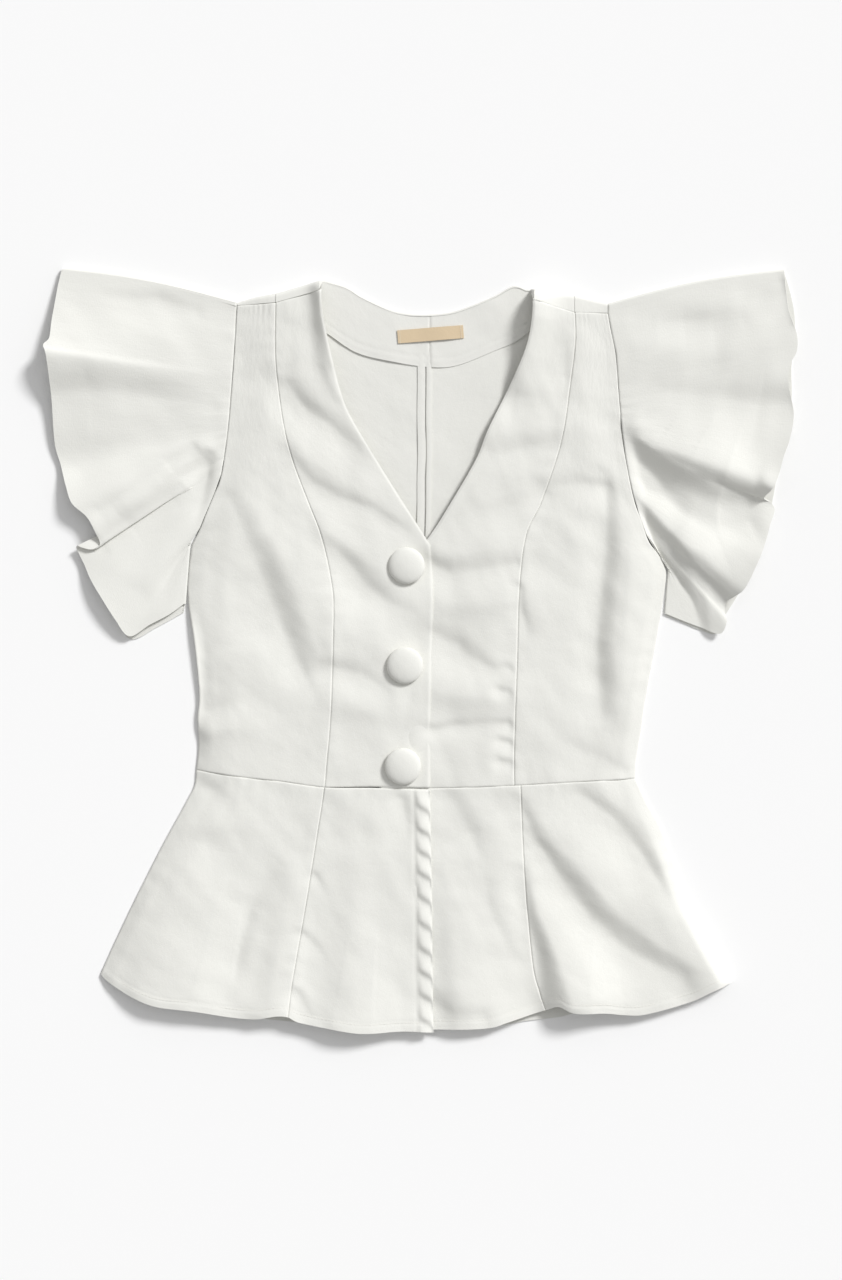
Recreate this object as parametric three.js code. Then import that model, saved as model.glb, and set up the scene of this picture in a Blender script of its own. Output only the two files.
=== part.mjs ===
// A V-neck blouse with princess seams, a flared peplum, flounce sleeves and three covered buttons,
// laid flat on its back. Millimetres: +X to the viewer's right, +Y towards the neck, +Z up from the surface.
// Pieces are named by the wearer's side, so "right" lies at -X.
import * as THREE from "three";

// Driving dimensions
const WALL = 1.3; // cloth thickness
const SEAM_GAP = 0.3; // between pieces that are sewn together
const SEAM_DRAW = SEAM_GAP * 0.56; // each piece's share of it, with a little to spare at slanting seams
const REST_TOP = 5.3; // usual height of the front's upper face
const EDGE_TOP = WALL * 2 + 0.4; // the front's upper face where it meets the back in a side seam
const LOW_TOP = EDGE_TOP + 0.1; // the lowest that a trough in the front may lie
const TROUGH_SOFTNESS = 0.7; // how softly a trough reaches that height
const LAP_TOP = 4.9; // the lowest where a facing or the under front lies below
const LAP_STEP = WALL + 0.6; // how far the under front lies below the over front
const LAP_PAST = 5; // and how far it still lies so low past the over front's edge
const LAP_RISE = 10; // over this width the under front comes up to the full height
const LAYERED = { inside: 108, outside: 128 }; // |x| up to which something lies below the front
const SIDE_ROLL = 14; // width over which the front rolls down to a side seam
const UNDERARM_ROLL = 26; // length over which that roll starts above the underarm
const BODICE_ROWS = 26;
const PEPLUM_ROWS = 12;
const ARM_ROWS = 13; // rows between the shoulder seam and the underarm
const NECK_ROLL = WALL * 2 + 0.3; // height of the rolled back neck edge
const NECK_LIP = 0.6; // how far that roll comes back over the facing
const FACING_TOP = WALL * 2 + 0.3;
const FACING_BACK = 2.6; // how far the facing's edge stands back from that roll
const UNDERARM_CLEAR = 2.8; // between the sleeve's underarm roll and the side seam
const LABEL_SIZE = { width: 58, height: 11.5, wall: 1, tilt: 4.6, x: 8, y: 277.5 };
const BUTTON = { radius: 16, height: 7.2, shank: 3.5, clear: 0.5 };
const BUTTON_DOME = [ // share of the radius, share of the height
  [0.86, 0], [0.97, 0.18], [1, 0.34], [0.95, 0.56], [0.78, 0.78], [0.5, 0.93], [0.2, 0.99], [0, 1],
];
const BUTTONS = [
  { name: "button_top", x: -13, y: 74 },
  { name: "button_middle", x: -14.5, y: -13.5 },
  { name: "button_bottom", x: -16.3, y: -102 },
];

// Seam lines and edges, [x, y] from the shoulder down
const RIGHT = {
  armhole: [[-162, 302.5], [-165, 255], [-170, 193], [-176, 153], [-182, 137], [-187, 125],
    [-194, 108], [-201.5, 93.5]],
  side: [[-201.5, 93.5], [-204.6, 70], [-205, 43], [-199, 5], [-195, -38], [-196.5, -60], [-196, -85],
    [-198, -105.5]],
  princess: [[-128, 305], [-128, 255], [-122, 203], [-112.5, 165], [-99.5, 130], [-87.5, 99], [-78.5, 57],
    [-77, 31], [-78.5, -26], [-80, -62], [-85, -120.5]],
  backPrincess: [[-128, 311], [-126, 230], [-116, 150], [-100, 50], [-92, -50], [-90, -120.8]],
  edge: [[-87.5, 316], [-86.5, 295], [-78, 255], [-70, 224.5], [-59.5, 200.5], [-26.5, 146],
    [4, 98], [8, 87], [10, 43], [8, -40], [7.5, -121]],
  waist: [[-198, -105.5], [-159, -111.5], [-126, -115], [-85, -120.5], [-41, -121], [7.5, -123]],
  peplumSide: [[-198, -105.5], [-199.5, -119], [-206.5, -133], [-234.5, -185], [-266.5, -250.5],
    [-282, -285]],
  peplumPrincess: [[-85, -120.5], [-93, -171], [-102.5, -230], [-113, -290], [-117, -321.5]],
  peplumEdge: [[7.5, -123], [9, -203], [9.5, -251], [10.5, -335.5]],
  hem: [[-282, -285], [-274.5, -292], [-253.5, -304.5], [-232, -312.5], [-199.5, -316.5], [-166, -322],
    [-145, -323.4], [-128.5, -320.8], [-117, -321.5], [-105, -327], [-64.5, -334.4], [-46, -335.8],
    [-18, -334.4], [10.5, -335.5]],
  shoulderTop: [[-162, 305.5], [-144, 310.5], [-128, 313.5], [-110, 318.5], [-94, 323.3], [-84.5, 325]],
};
const LEFT = {
  armhole: [[163.8, 296], [166, 283], [171, 259.5], [173, 229], [178, 177], [186, 134.5], [193, 113.5],
    [200, 94.5],
    [209.5, 83], [215, 71]],
  side: [[215, 71], [214.3, 56], [207, 12], [197, -43], [193, -71], [189, -95], [188, -113]],
  princess: [[134.5, 296.5], [135, 268.5], [130, 229], [123, 184], [106, 132], [92, 101], [86, 55],
    [84, -7], [81.5, -85],
    [81.5, -119]],
  backPrincess: [[134.5, 311], [133, 230], [124, 150], [106, 50], [98, -50], [97, -118.5]],
  edge: [[97, 306.5], [96.5, 290.5], [92, 266.5], [78, 233], [58.5, 193.5], [47, 165.5], [19, 118],
    [7, 100],
    [-10, 76], [-25, 48], [-33, 10], [-37, -70], [-37, -121.5]],
  waist: [[-37, -121.5], [7.5, -121.5], [56.5, -120], [87, -118.7], [122, -116.7], [155, -115],
    [188, -113]],
  peplumSide: [[188, -113], [197.5, -133], [210, -156], [224, -192], [235.5, -222], [260, -269.5],
    [273, -292]],
  peplumPrincess: [[87, -118.7], [90.5, -196], [97.5, -274], [103.5, -300], [109, -316]],
  peplumEdge: [[-37, -121.5], [-38, -230], [-40, -333]],
  hem: [[-40, -333], [10.5, -333], [56.5, -331.7], [75, -327], [109, -316], [120, -312.3],
    [134, -317.5], [160, -317.8],
    [180, -320], [198, -319.3], [235.5, -309], [254.5, -300], [273, -292]],
  shoulderTop: [[92, 317.5], [110, 314.8], [134.5, 311.8], [150, 308], [163.8, 304.5]],
};
const BACK_NECK = [[-84.5, 325], [-66.5, 319.5], [-52.5, 311], [-29.5, 300.3], [-13.5, 296.2],
  [6, 295.4], [26, 297.4],
  [45, 303.5], [65, 312], [81, 320.5], [92, 317.5]];
const FACING_LOW = [[-98, 286], [-83, 278.3], [-57, 261.5], [-25, 253.5], [7.5, 248.8], [32, 250.5],
  [65, 263.5], [85, 272.5],
  [104, 288]];
const CENTRE_BACK = [[4, 295.4], [3, 100], [3, -122]];
const BACK_WAIST = [[-198, -105.5], [-90, -120.8], [3, -122], [97, -118.5], [188, -113]]
  .map(([x, y]) => new THREE.Vector2(x, y));
const FACING_CENTRE = 7.5;
const BACK_HEM_CENTRE = -334;
const BACK_HEM = [[-281, -286], [-253, -305], [-200, -317.5], [-140, -324.8], [-105, -328.6],
  [-78, -333.2], [-46, -334.5],
  [3, -334], [60, -331.5], [94, -326.2], [122, -323], [134, -320], [160, -318.5], [198, -318.8],
  [235, -308.6], [272.5, -292.2]];

// Folds in the front: a soft ridge (rise above 0) or trough from one point to another
const FOLDS = [
  { from: [-88, 312], to: [-76, 238], width: [6, 9], rise: [4.5, 0.5] }, // neck edge, right
  { from: [98, 302], to: [80, 232], width: [8, 10], rise: [6.5, 0.8] }, // neck edge, left
  { from: [-124, 246], to: [-45, 182], width: [12, 10], rise: [1.8, 1] }, // right centre front
  { from: [-104, 176], to: [-30, 122], width: [12, 9], rise: [1.6, 1.4] },
  { from: [-84, 106], to: [-22, 62], width: [10, 9], rise: [1.6, 0.8] },
  { from: [-76, 2], to: [-26, -6], width: [10, 10], rise: [1.5, 0.8] },
  { from: [-74, -48], to: [-30, -56], width: [11, 12], rise: [1.5, 1] },
  { from: [-181, 168], to: [-156, 78], width: [14, 18], rise: [1.5, 3.2] }, // right side front
  { from: [-156, 78], to: [-128, -30], width: [18, 16], rise: [3.2, 1.6] },
  { from: [-160, 136], to: [-108, 0], width: [8, 9], rise: [-1.2, -2] },
  { from: [-183, -52], to: [-166, -48], width: [7, 7], rise: [-2.4, -1.4] },
  { from: [-192, -70], to: [-160, -66], width: [9, 10], rise: [3, 1.6] },
  { from: [16, 82], to: [80, 92], width: [9, 9], rise: [1.6, 1.2] }, // left centre front
  { from: [18, 42], to: [80, 46], width: [12, 12], rise: [1.5, 1.8] },
  { from: [18, -38], to: [78, -40], width: [12, 12], rise: [1.6, 1.4] },
  { from: [60, 190], to: [118, 196], width: [10, 10], rise: [1.4, 1.6] },
  { from: [165, 150], to: [164, -52], width: [8, 10], rise: [-1.6, -2] }, // left side front
  { from: [190, 100], to: [184, -60], width: [12, 11], rise: [2, 2.6] },
  { from: [136, 110], to: [140, -70], width: [16, 14], rise: [2.4, 2] },
  { from: [-206, -146], to: [-120, -140], width: [8, 9], rise: [-1.5, -1.5] }, // right peplum
  { from: [-190, -170], to: [-232, -306], width: [16, 24], rise: [2.5, 10] },
  { from: [-126, -190], to: [-180, -318], width: [9, 14], rise: [-1.5, -3.2] },
  { from: [-112, -200], to: [-132, -322], width: [12, 16], rise: [1, 7.5] },
  { from: [-52, -170], to: [-60, -334], width: [18, 22], rise: [0.8, 4.5] },
  { from: [42, -160], to: [52, -332], width: [15, 19], rise: [0.8, 6] }, // left peplum
  { from: [93, -200], to: [122, -290], width: [8, 10], rise: [-1.5, -4] },
  { from: [122, -290], to: [130, -316], width: [10, 9], rise: [-4, -4.5] },
  { from: [118, -190], to: [168, -318], width: [13, 19], rise: [1.6, 12] },
  { from: [97, -156], to: [160, -220], width: [8, 11], rise: [-2.2, -3.6] },
  { from: [160, -220], to: [246, -272], width: [11, 8], rise: [-3.6, -1.6] },
  { from: [150, -150], to: [226, -236], width: [12, 14], rise: [2.2, 7.5] },
  { from: [156, -131], to: [220, -204], width: [6, 6], rise: [-1.5, -2.2] },
  { from: [206, -284], to: [222, -312], width: [14, 16], rise: [5, 6.5] },
];

// Sleeve rows from the shoulder to the underarm: [place along the armhole, x, y, z of the hem there], z left out
// where it lies on the surface
const SLEEVE_RIGHT = [
  [0, -315.5, 336, 5.4], [1, -319, 321, 6], [2, -321.5, 305.5, 7.5], [3, -324, 288.5, 8.2],
  [4, -325.5, 273, 8.4],
  [4.5, -330.4, 266.5, 9.5], [5, -327.5, 257, 12.5], [6, -324.5, 224.5, 14.5], [7, -322, 182, 9.6],
  [7.5, -317, 163, 9.2],
  [8, -312, 145, 12.5], [8.5, -306, 128.5, 15.5], [9, -293.5, 117, 14.4], [9.2, -286, 104, 14],
  [9.4, -282, 92.5, 12.2], [9.6, -290, 88, 8.8], [9.9, -302.5, 90.5, 5.6], [10.2, -300, 83, 4.5],
  [10.5, -296, 75, 5.6],
  [11.2, -290, 61.5, 8.2], [12.2, -280, 45, 10], [13.2, -268.5, 27, 9.6], [13.85, -256.5, 12, 6.5],
  [13.9, -239, 22, 5.2], [13.95, -222, 31, 4.6], [14, -208.8, 40.5, 3.4],
];
const SLEEVE_RIGHT_BACK = [
  [0, -315.5, 335], [1, -318, 321], [3, -322, 288.5], [4, -324, 273], [6, -322, 224.5], [8, -309, 146],
  [9, -291, 116], [10, -279, 92], [11, -284, 66], [12, -278, 46], [13, -268.5, 28], [13.85, -255.5, 9.5],
  [13.93, -232, 20.5], [14, -207.6, 34],
];
const SLEEVE_LEFT = [
  [0, 318.5, 334.5, 5.4], [1, 319.3, 322, 5.8], [2, 320.3, 311.5, 6.4], [3, 322.3, 297.5, 7.4],
  [4, 328.8, 277, 9],
  [4.5, 328.8, 262, 9.4], [5, 323, 250, 9.8], [5.5, 321.3, 234, 11], [6, 326, 208, 13],
  [6.25, 322.5, 186.5, 14.4],
  [6.5, 316.3, 169, 14.4], [6.75, 305, 156.5, 11.6], [7, 296, 146, 8.6], [7.3, 291.7, 133, 5.2],
  [7.8, 299, 130.5, 5.4], [8.2, 307, 129.5, 8.4], [8.6, 310, 122.5, 11.8], [9.2, 305.7, 110, 14.2],
  [9.5, 301.3, 95, 15.4], [10, 294.3, 77.5, 14.6], [10.5, 283, 54.5, 12.4], [10.75, 274, 46.5, 8.4],
  [11, 268, 42.3, 4.8],
  [11.5, 266.5, 33.5, 5.6], [12, 267.8, 24.5, 7], [13, 262, 14.2, 6.2], [13.85, 245, 20, 5.2],
  [13.92, 228, 26.5, 4.6], [14, 214.8, 32, 3.4],
];
const SLEEVE_LEFT_BACK = [
  [0, 318.5, 333.5], [1, 322.5, 321.5], [2, 326.5, 305.5], [3, 328.5, 290.5], [4, 328.5, 268.5],
  [5, 325.5, 249],
  [6, 325, 212], [7, 314, 160], [8, 309, 132], [9, 303, 108], [10, 291, 75], [11, 278, 48],
  [12, 265, 27], [13, 259, 14.5],
  [13.85, 243, 18.5], [13.93, 227, 25.5], [14, 213.6, 31],
];
const SLEEVE_BOW = 4.5; // how far the top fold bows up between the shoulder and the hem
const BOWED_STATIONS = 3; // stations over which that bow fades out
const SLEEVE_STEPS = [0, 0.1, 0.22, 0.34, 0.46, 0.58, 0.7, 0.82, 0.92, 1];

// Colours from the photograph
const cloth = new THREE.MeshStandardMaterial({ color: 0xefeee8, roughness: 0.92, metalness: 0 });
const facing = new THREE.MeshStandardMaterial({ color: 0xe9e8e1, roughness: 0.92, metalness: 0 });
const ribbon = new THREE.MeshStandardMaterial({ color: 0xe3d2ba, roughness: 0.6, metalness: 0 });

const group = new THREE.Group();
const UP = new THREE.Vector3(0, 0, 1);
const DOWN = new THREE.Vector3(0, 0, -1);

// Numbers
const clamp = (t) => Math.min(1, Math.max(0, t));
const smooth = (t) => clamp(t) ** 2 * (3 - 2 * clamp(t));
const lerp = (a, b, t) => a + (b - a) * t;
const steps = (count) => Array.from({ length: count + 1 }, (_, i) => i / count);

// A smooth line through [x, y] points, as a function of the share of its length
function line(points) {
  const curve = new THREE.SplineCurve(points.map(([x, y]) => new THREE.Vector2(x, y)));
  curve.arcLengthDivisions = 400;
  return (t) => curve.getPointAt(t);
}

// The same line as points, and the stretch of a line between two x values
const sampled = (points, count) => steps(count).map(line(points));
const stretch = (points, x0, x1) => level(sampled(points, 240), x0, x1);

function level(fine, x0, x1) {
  return (t) => new THREE.Vector2(lerp(x0, x1, t), heightAt(fine, lerp(x0, x1, t)));
}

// y of a left-to-right line at x, and x of a top-to-bottom line at y
function heightAt(fine, x) {
  const k = fine.findIndex((p, i) => i > 0 && p.x >= x);
  const [a, b] = k < 0 ? fine.slice(-2) : [fine[k - 1], fine[k]];
  return lerp(a.y, b.y, clamp((x - a.x) / (b.x - a.x)));
}
function placeAt(fine, y) {
  const k = fine.findIndex((p, i) => i > 0 && p.y <= y);
  const [a, b] = k < 0 ? fine.slice(-2) : [fine[k - 1], fine[k]];
  return lerp(a.x, b.x, clamp((y - a.y) / (b.y - a.y)));
}

// Outlines that the height of the front depends on
const outline = (side) => [...sampled(side.armhole, 60), ...sampled(side.side, 60), ...sampled(side.peplumSide, 60)];
const OUTLINE_RIGHT = outline(RIGHT);
const OUTLINE_LEFT = outline(LEFT);
const LAP_EDGE = [...sampled(RIGHT.edge, 120), ...sampled(RIGHT.peplumEdge, 60)];
const UNDERARM = { right: RIGHT.side[0][1], left: LEFT.side[0][1] };

// One fold's share of the height at a place
function foldRise({ from, to, width, rise }, x, y) {
  const [dx, dy] = [to[0] - from[0], to[1] - from[1]];
  const run = ((x - from[0]) * dx + (y - from[1]) * dy) / (dx * dx + dy * dy);
  const t = clamp(run);
  const wide = lerp(width[0], width[1], t);
  const off = Math.hypot(x - from[0] - t * dx, y - from[1] - t * dy) / wide;
  return lerp(rise[0], rise[1], t) * Math.exp(-off * off);
}

// Height of the front's upper face
function frontTop(x, y) {
  const folds = FOLDS.reduce((sum, fold) => sum + foldRise(fold, x, y), 0);
  const layered = smooth((LAYERED.outside - Math.abs(x)) / (LAYERED.outside - LAYERED.inside));
  const low = lerp(LOW_TOP, LAP_TOP, layered);
  const spare = REST_TOP + folds - low;
  const top = low + (spare + Math.hypot(spare, TROUGH_SOFTNESS)) / 2;
  const inRight = x - placeAt(OUTLINE_RIGHT, y);
  const inLeft = placeAt(OUTLINE_LEFT, y) - x;
  const [inside, underarm] = inRight < inLeft ? [inRight, UNDERARM.right] : [inLeft, UNDERARM.left];
  const rolled = smooth((underarm + UNDERARM_ROLL - y) / UNDERARM_ROLL);
  const roll = Math.sin((clamp(inside / SIDE_ROLL) * Math.PI) / 2);
  return lerp(top, EDGE_TOP, rolled * (1 - roll));
}

// Height of the under front, which drops below the over front at the lap
function underTop(x, y) {
  const past = x - placeAt(LAP_EDGE, y) - LAP_PAST;
  return frontTop(x, y) - LAP_STEP * (1 - smooth(past / LAP_RISE));
}

// A grid of plan points between four lines: rows run from top to bottom, columns from left to right
function patch({ left, right, top, bottom, rows, columns }) {
  return rows.map((v) =>
    columns.map((u) => {
      const corners = [
        [top(0), (1 - u) * (1 - v)], [top(1), u * (1 - v)], [bottom(0), (1 - u) * v], [bottom(1), u * v],
      ];
      const p = new THREE.Vector2()
        .addScaledVector(left(v), 1 - u)
        .addScaledVector(right(v), u)
        .addScaledVector(top(u), 1 - v)
        .addScaledVector(bottom(u), v);
      corners.forEach(([corner, share]) => p.addScaledVector(corner, -share));
      return p;
    }),
  );
}

// Edge points of a grid drawn in by half a seam gap
function drawnIn(grid) {
  const [m, n] = [grid.length - 1, grid[0].length - 1];
  const inwards = (i, j) => {
    const p = grid[i][j].clone();
    const pull = (q) => p.addScaledVector(q.clone().sub(grid[i][j]).normalize(), SEAM_DRAW);
    if (j === 0) pull(grid[i][1]);
    if (j === n) pull(grid[i][n - 1]);
    if (i === 0) pull(grid[1][j]);
    if (i === m) pull(grid[m - 1][j]);
    return p;
  };
  return grid.map((row, i) => row.map((_, j) => inwards(i, j)));
}

// A closed wall between two grids of points; the outer one faces out when seen with its rows going down.
// A round wall has its last row joined to its first.
function wall(name, material, outer, inner, round = false) {
  const [m, n] = [outer.length, outer[0].length];
  const positions = [];
  const triangle = (...points) => points.forEach((p) => positions.push(p.x, p.y, p.z));
  const face = (a, b, c, d) => {
    triangle(a, b, c);
    triangle(a, c, d);
  };
  for (let i = 0; i < (round ? m : m - 1); i++) {
    const k = (i + 1) % m;
    for (let j = 0; j < n - 1; j++) {
      face(outer[i][j], outer[k][j], outer[k][j + 1], outer[i][j + 1]);
      face(inner[i][j], inner[i][j + 1], inner[k][j + 1], inner[k][j]);
    }
    face(inner[i][0], inner[k][0], outer[k][0], outer[i][0]);
    face(outer[i][n - 1], outer[k][n - 1], inner[k][n - 1], inner[i][n - 1]);
  }
  for (let j = 0; !round && j < n - 1; j++) {
    face(inner[0][j], outer[0][j], outer[0][j + 1], inner[0][j + 1]);
    face(outer[m - 1][j], inner[m - 1][j], inner[m - 1][j + 1], outer[m - 1][j + 1]);
  }
  const geometry = new THREE.BufferGeometry();
  geometry.setAttribute("position", new THREE.Float32BufferAttribute(positions, 3));
  geometry.computeVertexNormals();
  const mesh = new THREE.Mesh(geometry, material);
  mesh.name = name;
  group.add(mesh);
}

// A piece that lies face up, its upper face at a height worked out from the place
function layPiece(name, material, grid, topOf, thick = WALL) {
  const at = (p, drop) => new THREE.Vector3(p.x, p.y, topOf(p.x, p.y) - drop);
  const lowered = (drop) => grid.map((row) => row.map((p) => at(p, drop)));
  wall(name, material, lowered(0), lowered(thick));
}

// Lines shared by the panels of one side of the garment. The armhole's points are shared with the sleeve.
function seams(side) {
  const armhole = sampled(side.armhole, ARM_ROWS);
  const shoulderTop = side === RIGHT ? RIGHT.shoulderTop[0] : LEFT.shoulderTop.at(-1);
  const shoulderEnd = new THREE.Vector2(armhole[0].x, shoulderTop[1]);
  const below = sampled(side.side, BODICE_ROWS - ARM_ROWS);
  const outside = [...armhole, ...below.slice(1)];
  return { armhole: [shoulderEnd, ...armhole], outside: (v) => outside[Math.round(v * BODICE_ROWS)] };
}
const SEAMS = { right: seams(RIGHT), left: seams(LEFT) };

// Shoulder seam lines between the named places
const straight = (a, b) => (t) => new THREE.Vector2(...a).lerp(new THREE.Vector2(...b), t);

const EVEN = steps(10);
const UNDER_LAP = [0, 0.12, 0.24, 0.33, 0.38, 0.44, 0.52, 0.62, 0.74, 0.87, 1];
const TO_SIDE = [0, 0.25, 0.48, 0.68, 0.83, 0.91, 0.955, 0.985, 1];
const FROM_SIDE = TO_SIDE.map((u) => 1 - u).reverse();

// Bodice fronts
function frontPanels() {
  const rows = steps(BODICE_ROWS);
  layPiece("front_right_side", cloth, drawnIn(patch({
    left: SEAMS.right.outside, right: line(RIGHT.princess), rows, columns: FROM_SIDE,
    top: straight(RIGHT.armhole[0], RIGHT.princess[0]),
    bottom: stretch(RIGHT.waist, RIGHT.side.at(-1)[0], RIGHT.princess.at(-1)[0]),
  })), frontTop);
  layPiece("front_right_center", cloth, drawnIn(patch({
    left: line(RIGHT.princess), right: line(RIGHT.edge), rows, columns: EVEN,
    top: straight(RIGHT.princess[0], RIGHT.edge[0]),
    bottom: stretch(RIGHT.waist, RIGHT.princess.at(-1)[0], RIGHT.edge.at(-1)[0]),
  })), frontTop);
  layPiece("front_left_center", cloth, drawnIn(patch({
    left: line(LEFT.edge), right: line(LEFT.princess), rows, columns: UNDER_LAP,
    top: straight(LEFT.edge[0], LEFT.princess[0]),
    bottom: stretch(LEFT.waist, LEFT.edge.at(-1)[0], LEFT.princess.at(-1)[0]),
  })), underTop);
  layPiece("front_left_side", cloth, drawnIn(patch({
    left: line(LEFT.princess), right: SEAMS.left.outside, rows, columns: TO_SIDE,
    top: straight(LEFT.princess[0], LEFT.armhole[0]),
    bottom: stretch(LEFT.waist, LEFT.princess.at(-1)[0], LEFT.side.at(-1)[0]),
  })), frontTop);
}

// Peplum fronts
function peplumFronts() {
  const rows = steps(PEPLUM_ROWS);
  const spans = [
    ["peplum_front_right_side", RIGHT, "peplumSide", "peplumPrincess", FROM_SIDE, frontTop],
    ["peplum_front_right_center", RIGHT, "peplumPrincess", "peplumEdge", EVEN, frontTop],
    ["peplum_front_left_center", LEFT, "peplumEdge", "peplumPrincess", UNDER_LAP, underTop],
    ["peplum_front_left_side", LEFT, "peplumPrincess", "peplumSide", TO_SIDE, frontTop],
  ];
  for (const [name, side, from, to, columns, topOf] of spans) {
    const [left, right] = [side[from], side[to]];
    layPiece(name, cloth, drawnIn(patch({
      left: line(left), right: line(right), rows, columns,
      top: stretch(side.waist, left[0][0], right[0][0]),
      bottom: stretch(side.hem, left.at(-1)[0], right.at(-1)[0]),
    })), topOf);
  }
}

// Backs, flat on the surface. At the shoulder each one turns over a roll and comes forward to the seam.
const TURN = steps(4).map((t) => t * Math.PI);
const BACK_COLUMNS = 5;
const BACK_ROWS = 9; // a third of the rows at the side, so that both edges of a seam have the same bends
const NECK_COLUMNS = [0, 0.11, 0.22, 0.31, 0.34, 0.37, 0.45, 0.6, 0.8, 1];
const SHOULDER = { right: sampled(RIGHT.shoulderTop, 60), left: sampled(LEFT.shoulderTop, 60) };
const NECK_LINE = sampled(BACK_NECK, 200);

// The top edge of one back piece: its outermost place, the height of its roll, and where the turned part ends
function turnOver(edge, seamY, x) {
  const top = heightAt(edge, x);
  const high = seamY === null ? NECK_ROLL : frontTop(x, seamY);
  const end = seamY === null ? top - high / 2 - NECK_LIP : seamY + SEAM_GAP / 2;
  return { x, fold: top - high / 2, high, end };
}

function backPiece(name, columns, left, right, turns, bottom) {
  const flatRows = left.length - 1;
  const foldLine = (j) => new THREE.Vector2(turns[j].x, turns[j].fold);
  const outer = [];
  const inner = [];
  for (let i = flatRows; i >= 0; i--) {
    const v = i / flatRows;
    const row = columns.map((u, j) => {
      const across = left[i].clone().lerp(right[i], u);
      const topOff = foldLine(j).sub(left[0].clone().lerp(right[0], u)).multiplyScalar(1 - v);
      const bottomOff = bottom(u).sub(left.at(-1).clone().lerp(right.at(-1), u)).multiplyScalar(v);
      return across.add(topOff).add(bottomOff);
    });
    outer.push(row.map((p) => new THREE.Vector3(p.x, p.y, 0)));
    inner.push(row.map((p) => new THREE.Vector3(p.x, p.y, WALL)));
  }
  for (const angle of TURN.slice(1)) {
    const at = (inset) => turns.map(({ x, fold, high }) => {
      const r = high / 2;
      return new THREE.Vector3(x, fold + (r - inset) * Math.sin(angle), r - (r - inset) * Math.cos(angle));
    });
    outer.push(at(0));
    inner.push(at(WALL));
  }
  const ended = (drop) => turns.map(({ x, end, high }) => new THREE.Vector3(x, end, high - drop));
  outer.push(ended(0));
  inner.push(ended(WALL));
  drawSides(outer);
  drawSides(inner);
  wall(name, cloth, outer, inner);
}

// The first and last column of a grid of 3-D points drawn in by half a seam gap, and its first row drawn up
function drawSides(grid) {
  for (const row of grid) {
    row[0].x += SEAM_DRAW;
    row.at(-1).x -= SEAM_DRAW;
  }
  for (const p of grid[0]) p.y += SEAM_DRAW;
}

function backPanels() {
  const columns = steps(BACK_COLUMNS);
  const side = (name, body, outsideLeft) => {
    const lines = body === RIGHT ? SEAMS.right : SEAMS.left;
    const outside = [...lines.armhole, ...sampled(body.side, BODICE_ROWS - ARM_ROWS).slice(1)];
    const count = outside.length - 1;
    const bends = sampled(body.backPrincess, BACK_ROWS);
    const inside = outside.map((_, i) => {
      const at = (i / count) * BACK_ROWS;
      const k = Math.min(Math.floor(at), BACK_ROWS - 1);
      return bends[k].clone().lerp(bends[k + 1], at - k);
    });
    const [left, right] = outsideLeft ? [outside, inside] : [inside, outside];
    const edge = body === RIGHT ? SHOULDER.right : SHOULDER.left;
    const turns = columns.map((u) => {
      const x = lerp(left[0].x, right[0].x, u);
      const share = (x - body.armhole[0][0]) / (body.princess[0][0] - body.armhole[0][0]);
      return turnOver(edge, lerp(body.armhole[0][1], body.princess[0][1], share), x);
    });
    backPiece(name, columns, left, right, turns, level(BACK_WAIST, left.at(-1).x, right.at(-1).x));
  };
  side("back_right_side", RIGHT, true);
  side("back_left_side", LEFT, false);

  const centre = (name, body, columns, left, right, edge) => {
    const turns = columns.map((u) => {
      const x = lerp(left[0].x, right[0].x, u);
      const share = (x - body.princess[0][0]) / (body.edge[0][0] - body.princess[0][0]);
      if (share > 1) return turnOver(NECK_LINE, null, x);
      return turnOver(edge, lerp(body.princess[0][1], body.edge[0][1], share), x);
    });
    backPiece(name, columns, left, right, turns, level(BACK_WAIST, left.at(-1).x, right.at(-1).x));
  };
  const middle = sampled(CENTRE_BACK, BACK_ROWS);
  centre("back_right_center", RIGHT, NECK_COLUMNS, sampled(RIGHT.backPrincess, BACK_ROWS), middle, SHOULDER.right);
  const mirrored = NECK_COLUMNS.map((u) => 1 - u).reverse();
  centre("back_left_center", LEFT, mirrored, middle, sampled(LEFT.backPrincess, BACK_ROWS), SHOULDER.left);
}

// Peplum backs, flat
function peplumBacks() {
  const flat = () => WALL;
  const rows = steps(PEPLUM_ROWS);
  const centre = straight(CENTRE_BACK.at(-1), [CENTRE_BACK.at(-1)[0], BACK_HEM_CENTRE]);
  const half = (name, side, left, right) => {
    const princess = (side.backPrincess.at(-1)[0] - left(0).x) / (right(0).x - left(0).x);
    layPiece(name, cloth, drawnIn(patch({
      left, right, rows,
      columns: [...steps(3).map((t) => t * princess), ...steps(3).slice(1).map((t) => lerp(princess, 1, t))],
      top: level(BACK_WAIST, left(0).x, right(0).x),
      bottom: stretch(BACK_HEM, left(1).x, right(1).x),
    })), flat);
  };
  half("peplum_back_right", RIGHT, line(RIGHT.peplumSide), centre);
  half("peplum_back_left", LEFT, centre, line(LEFT.peplumSide));
}

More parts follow.
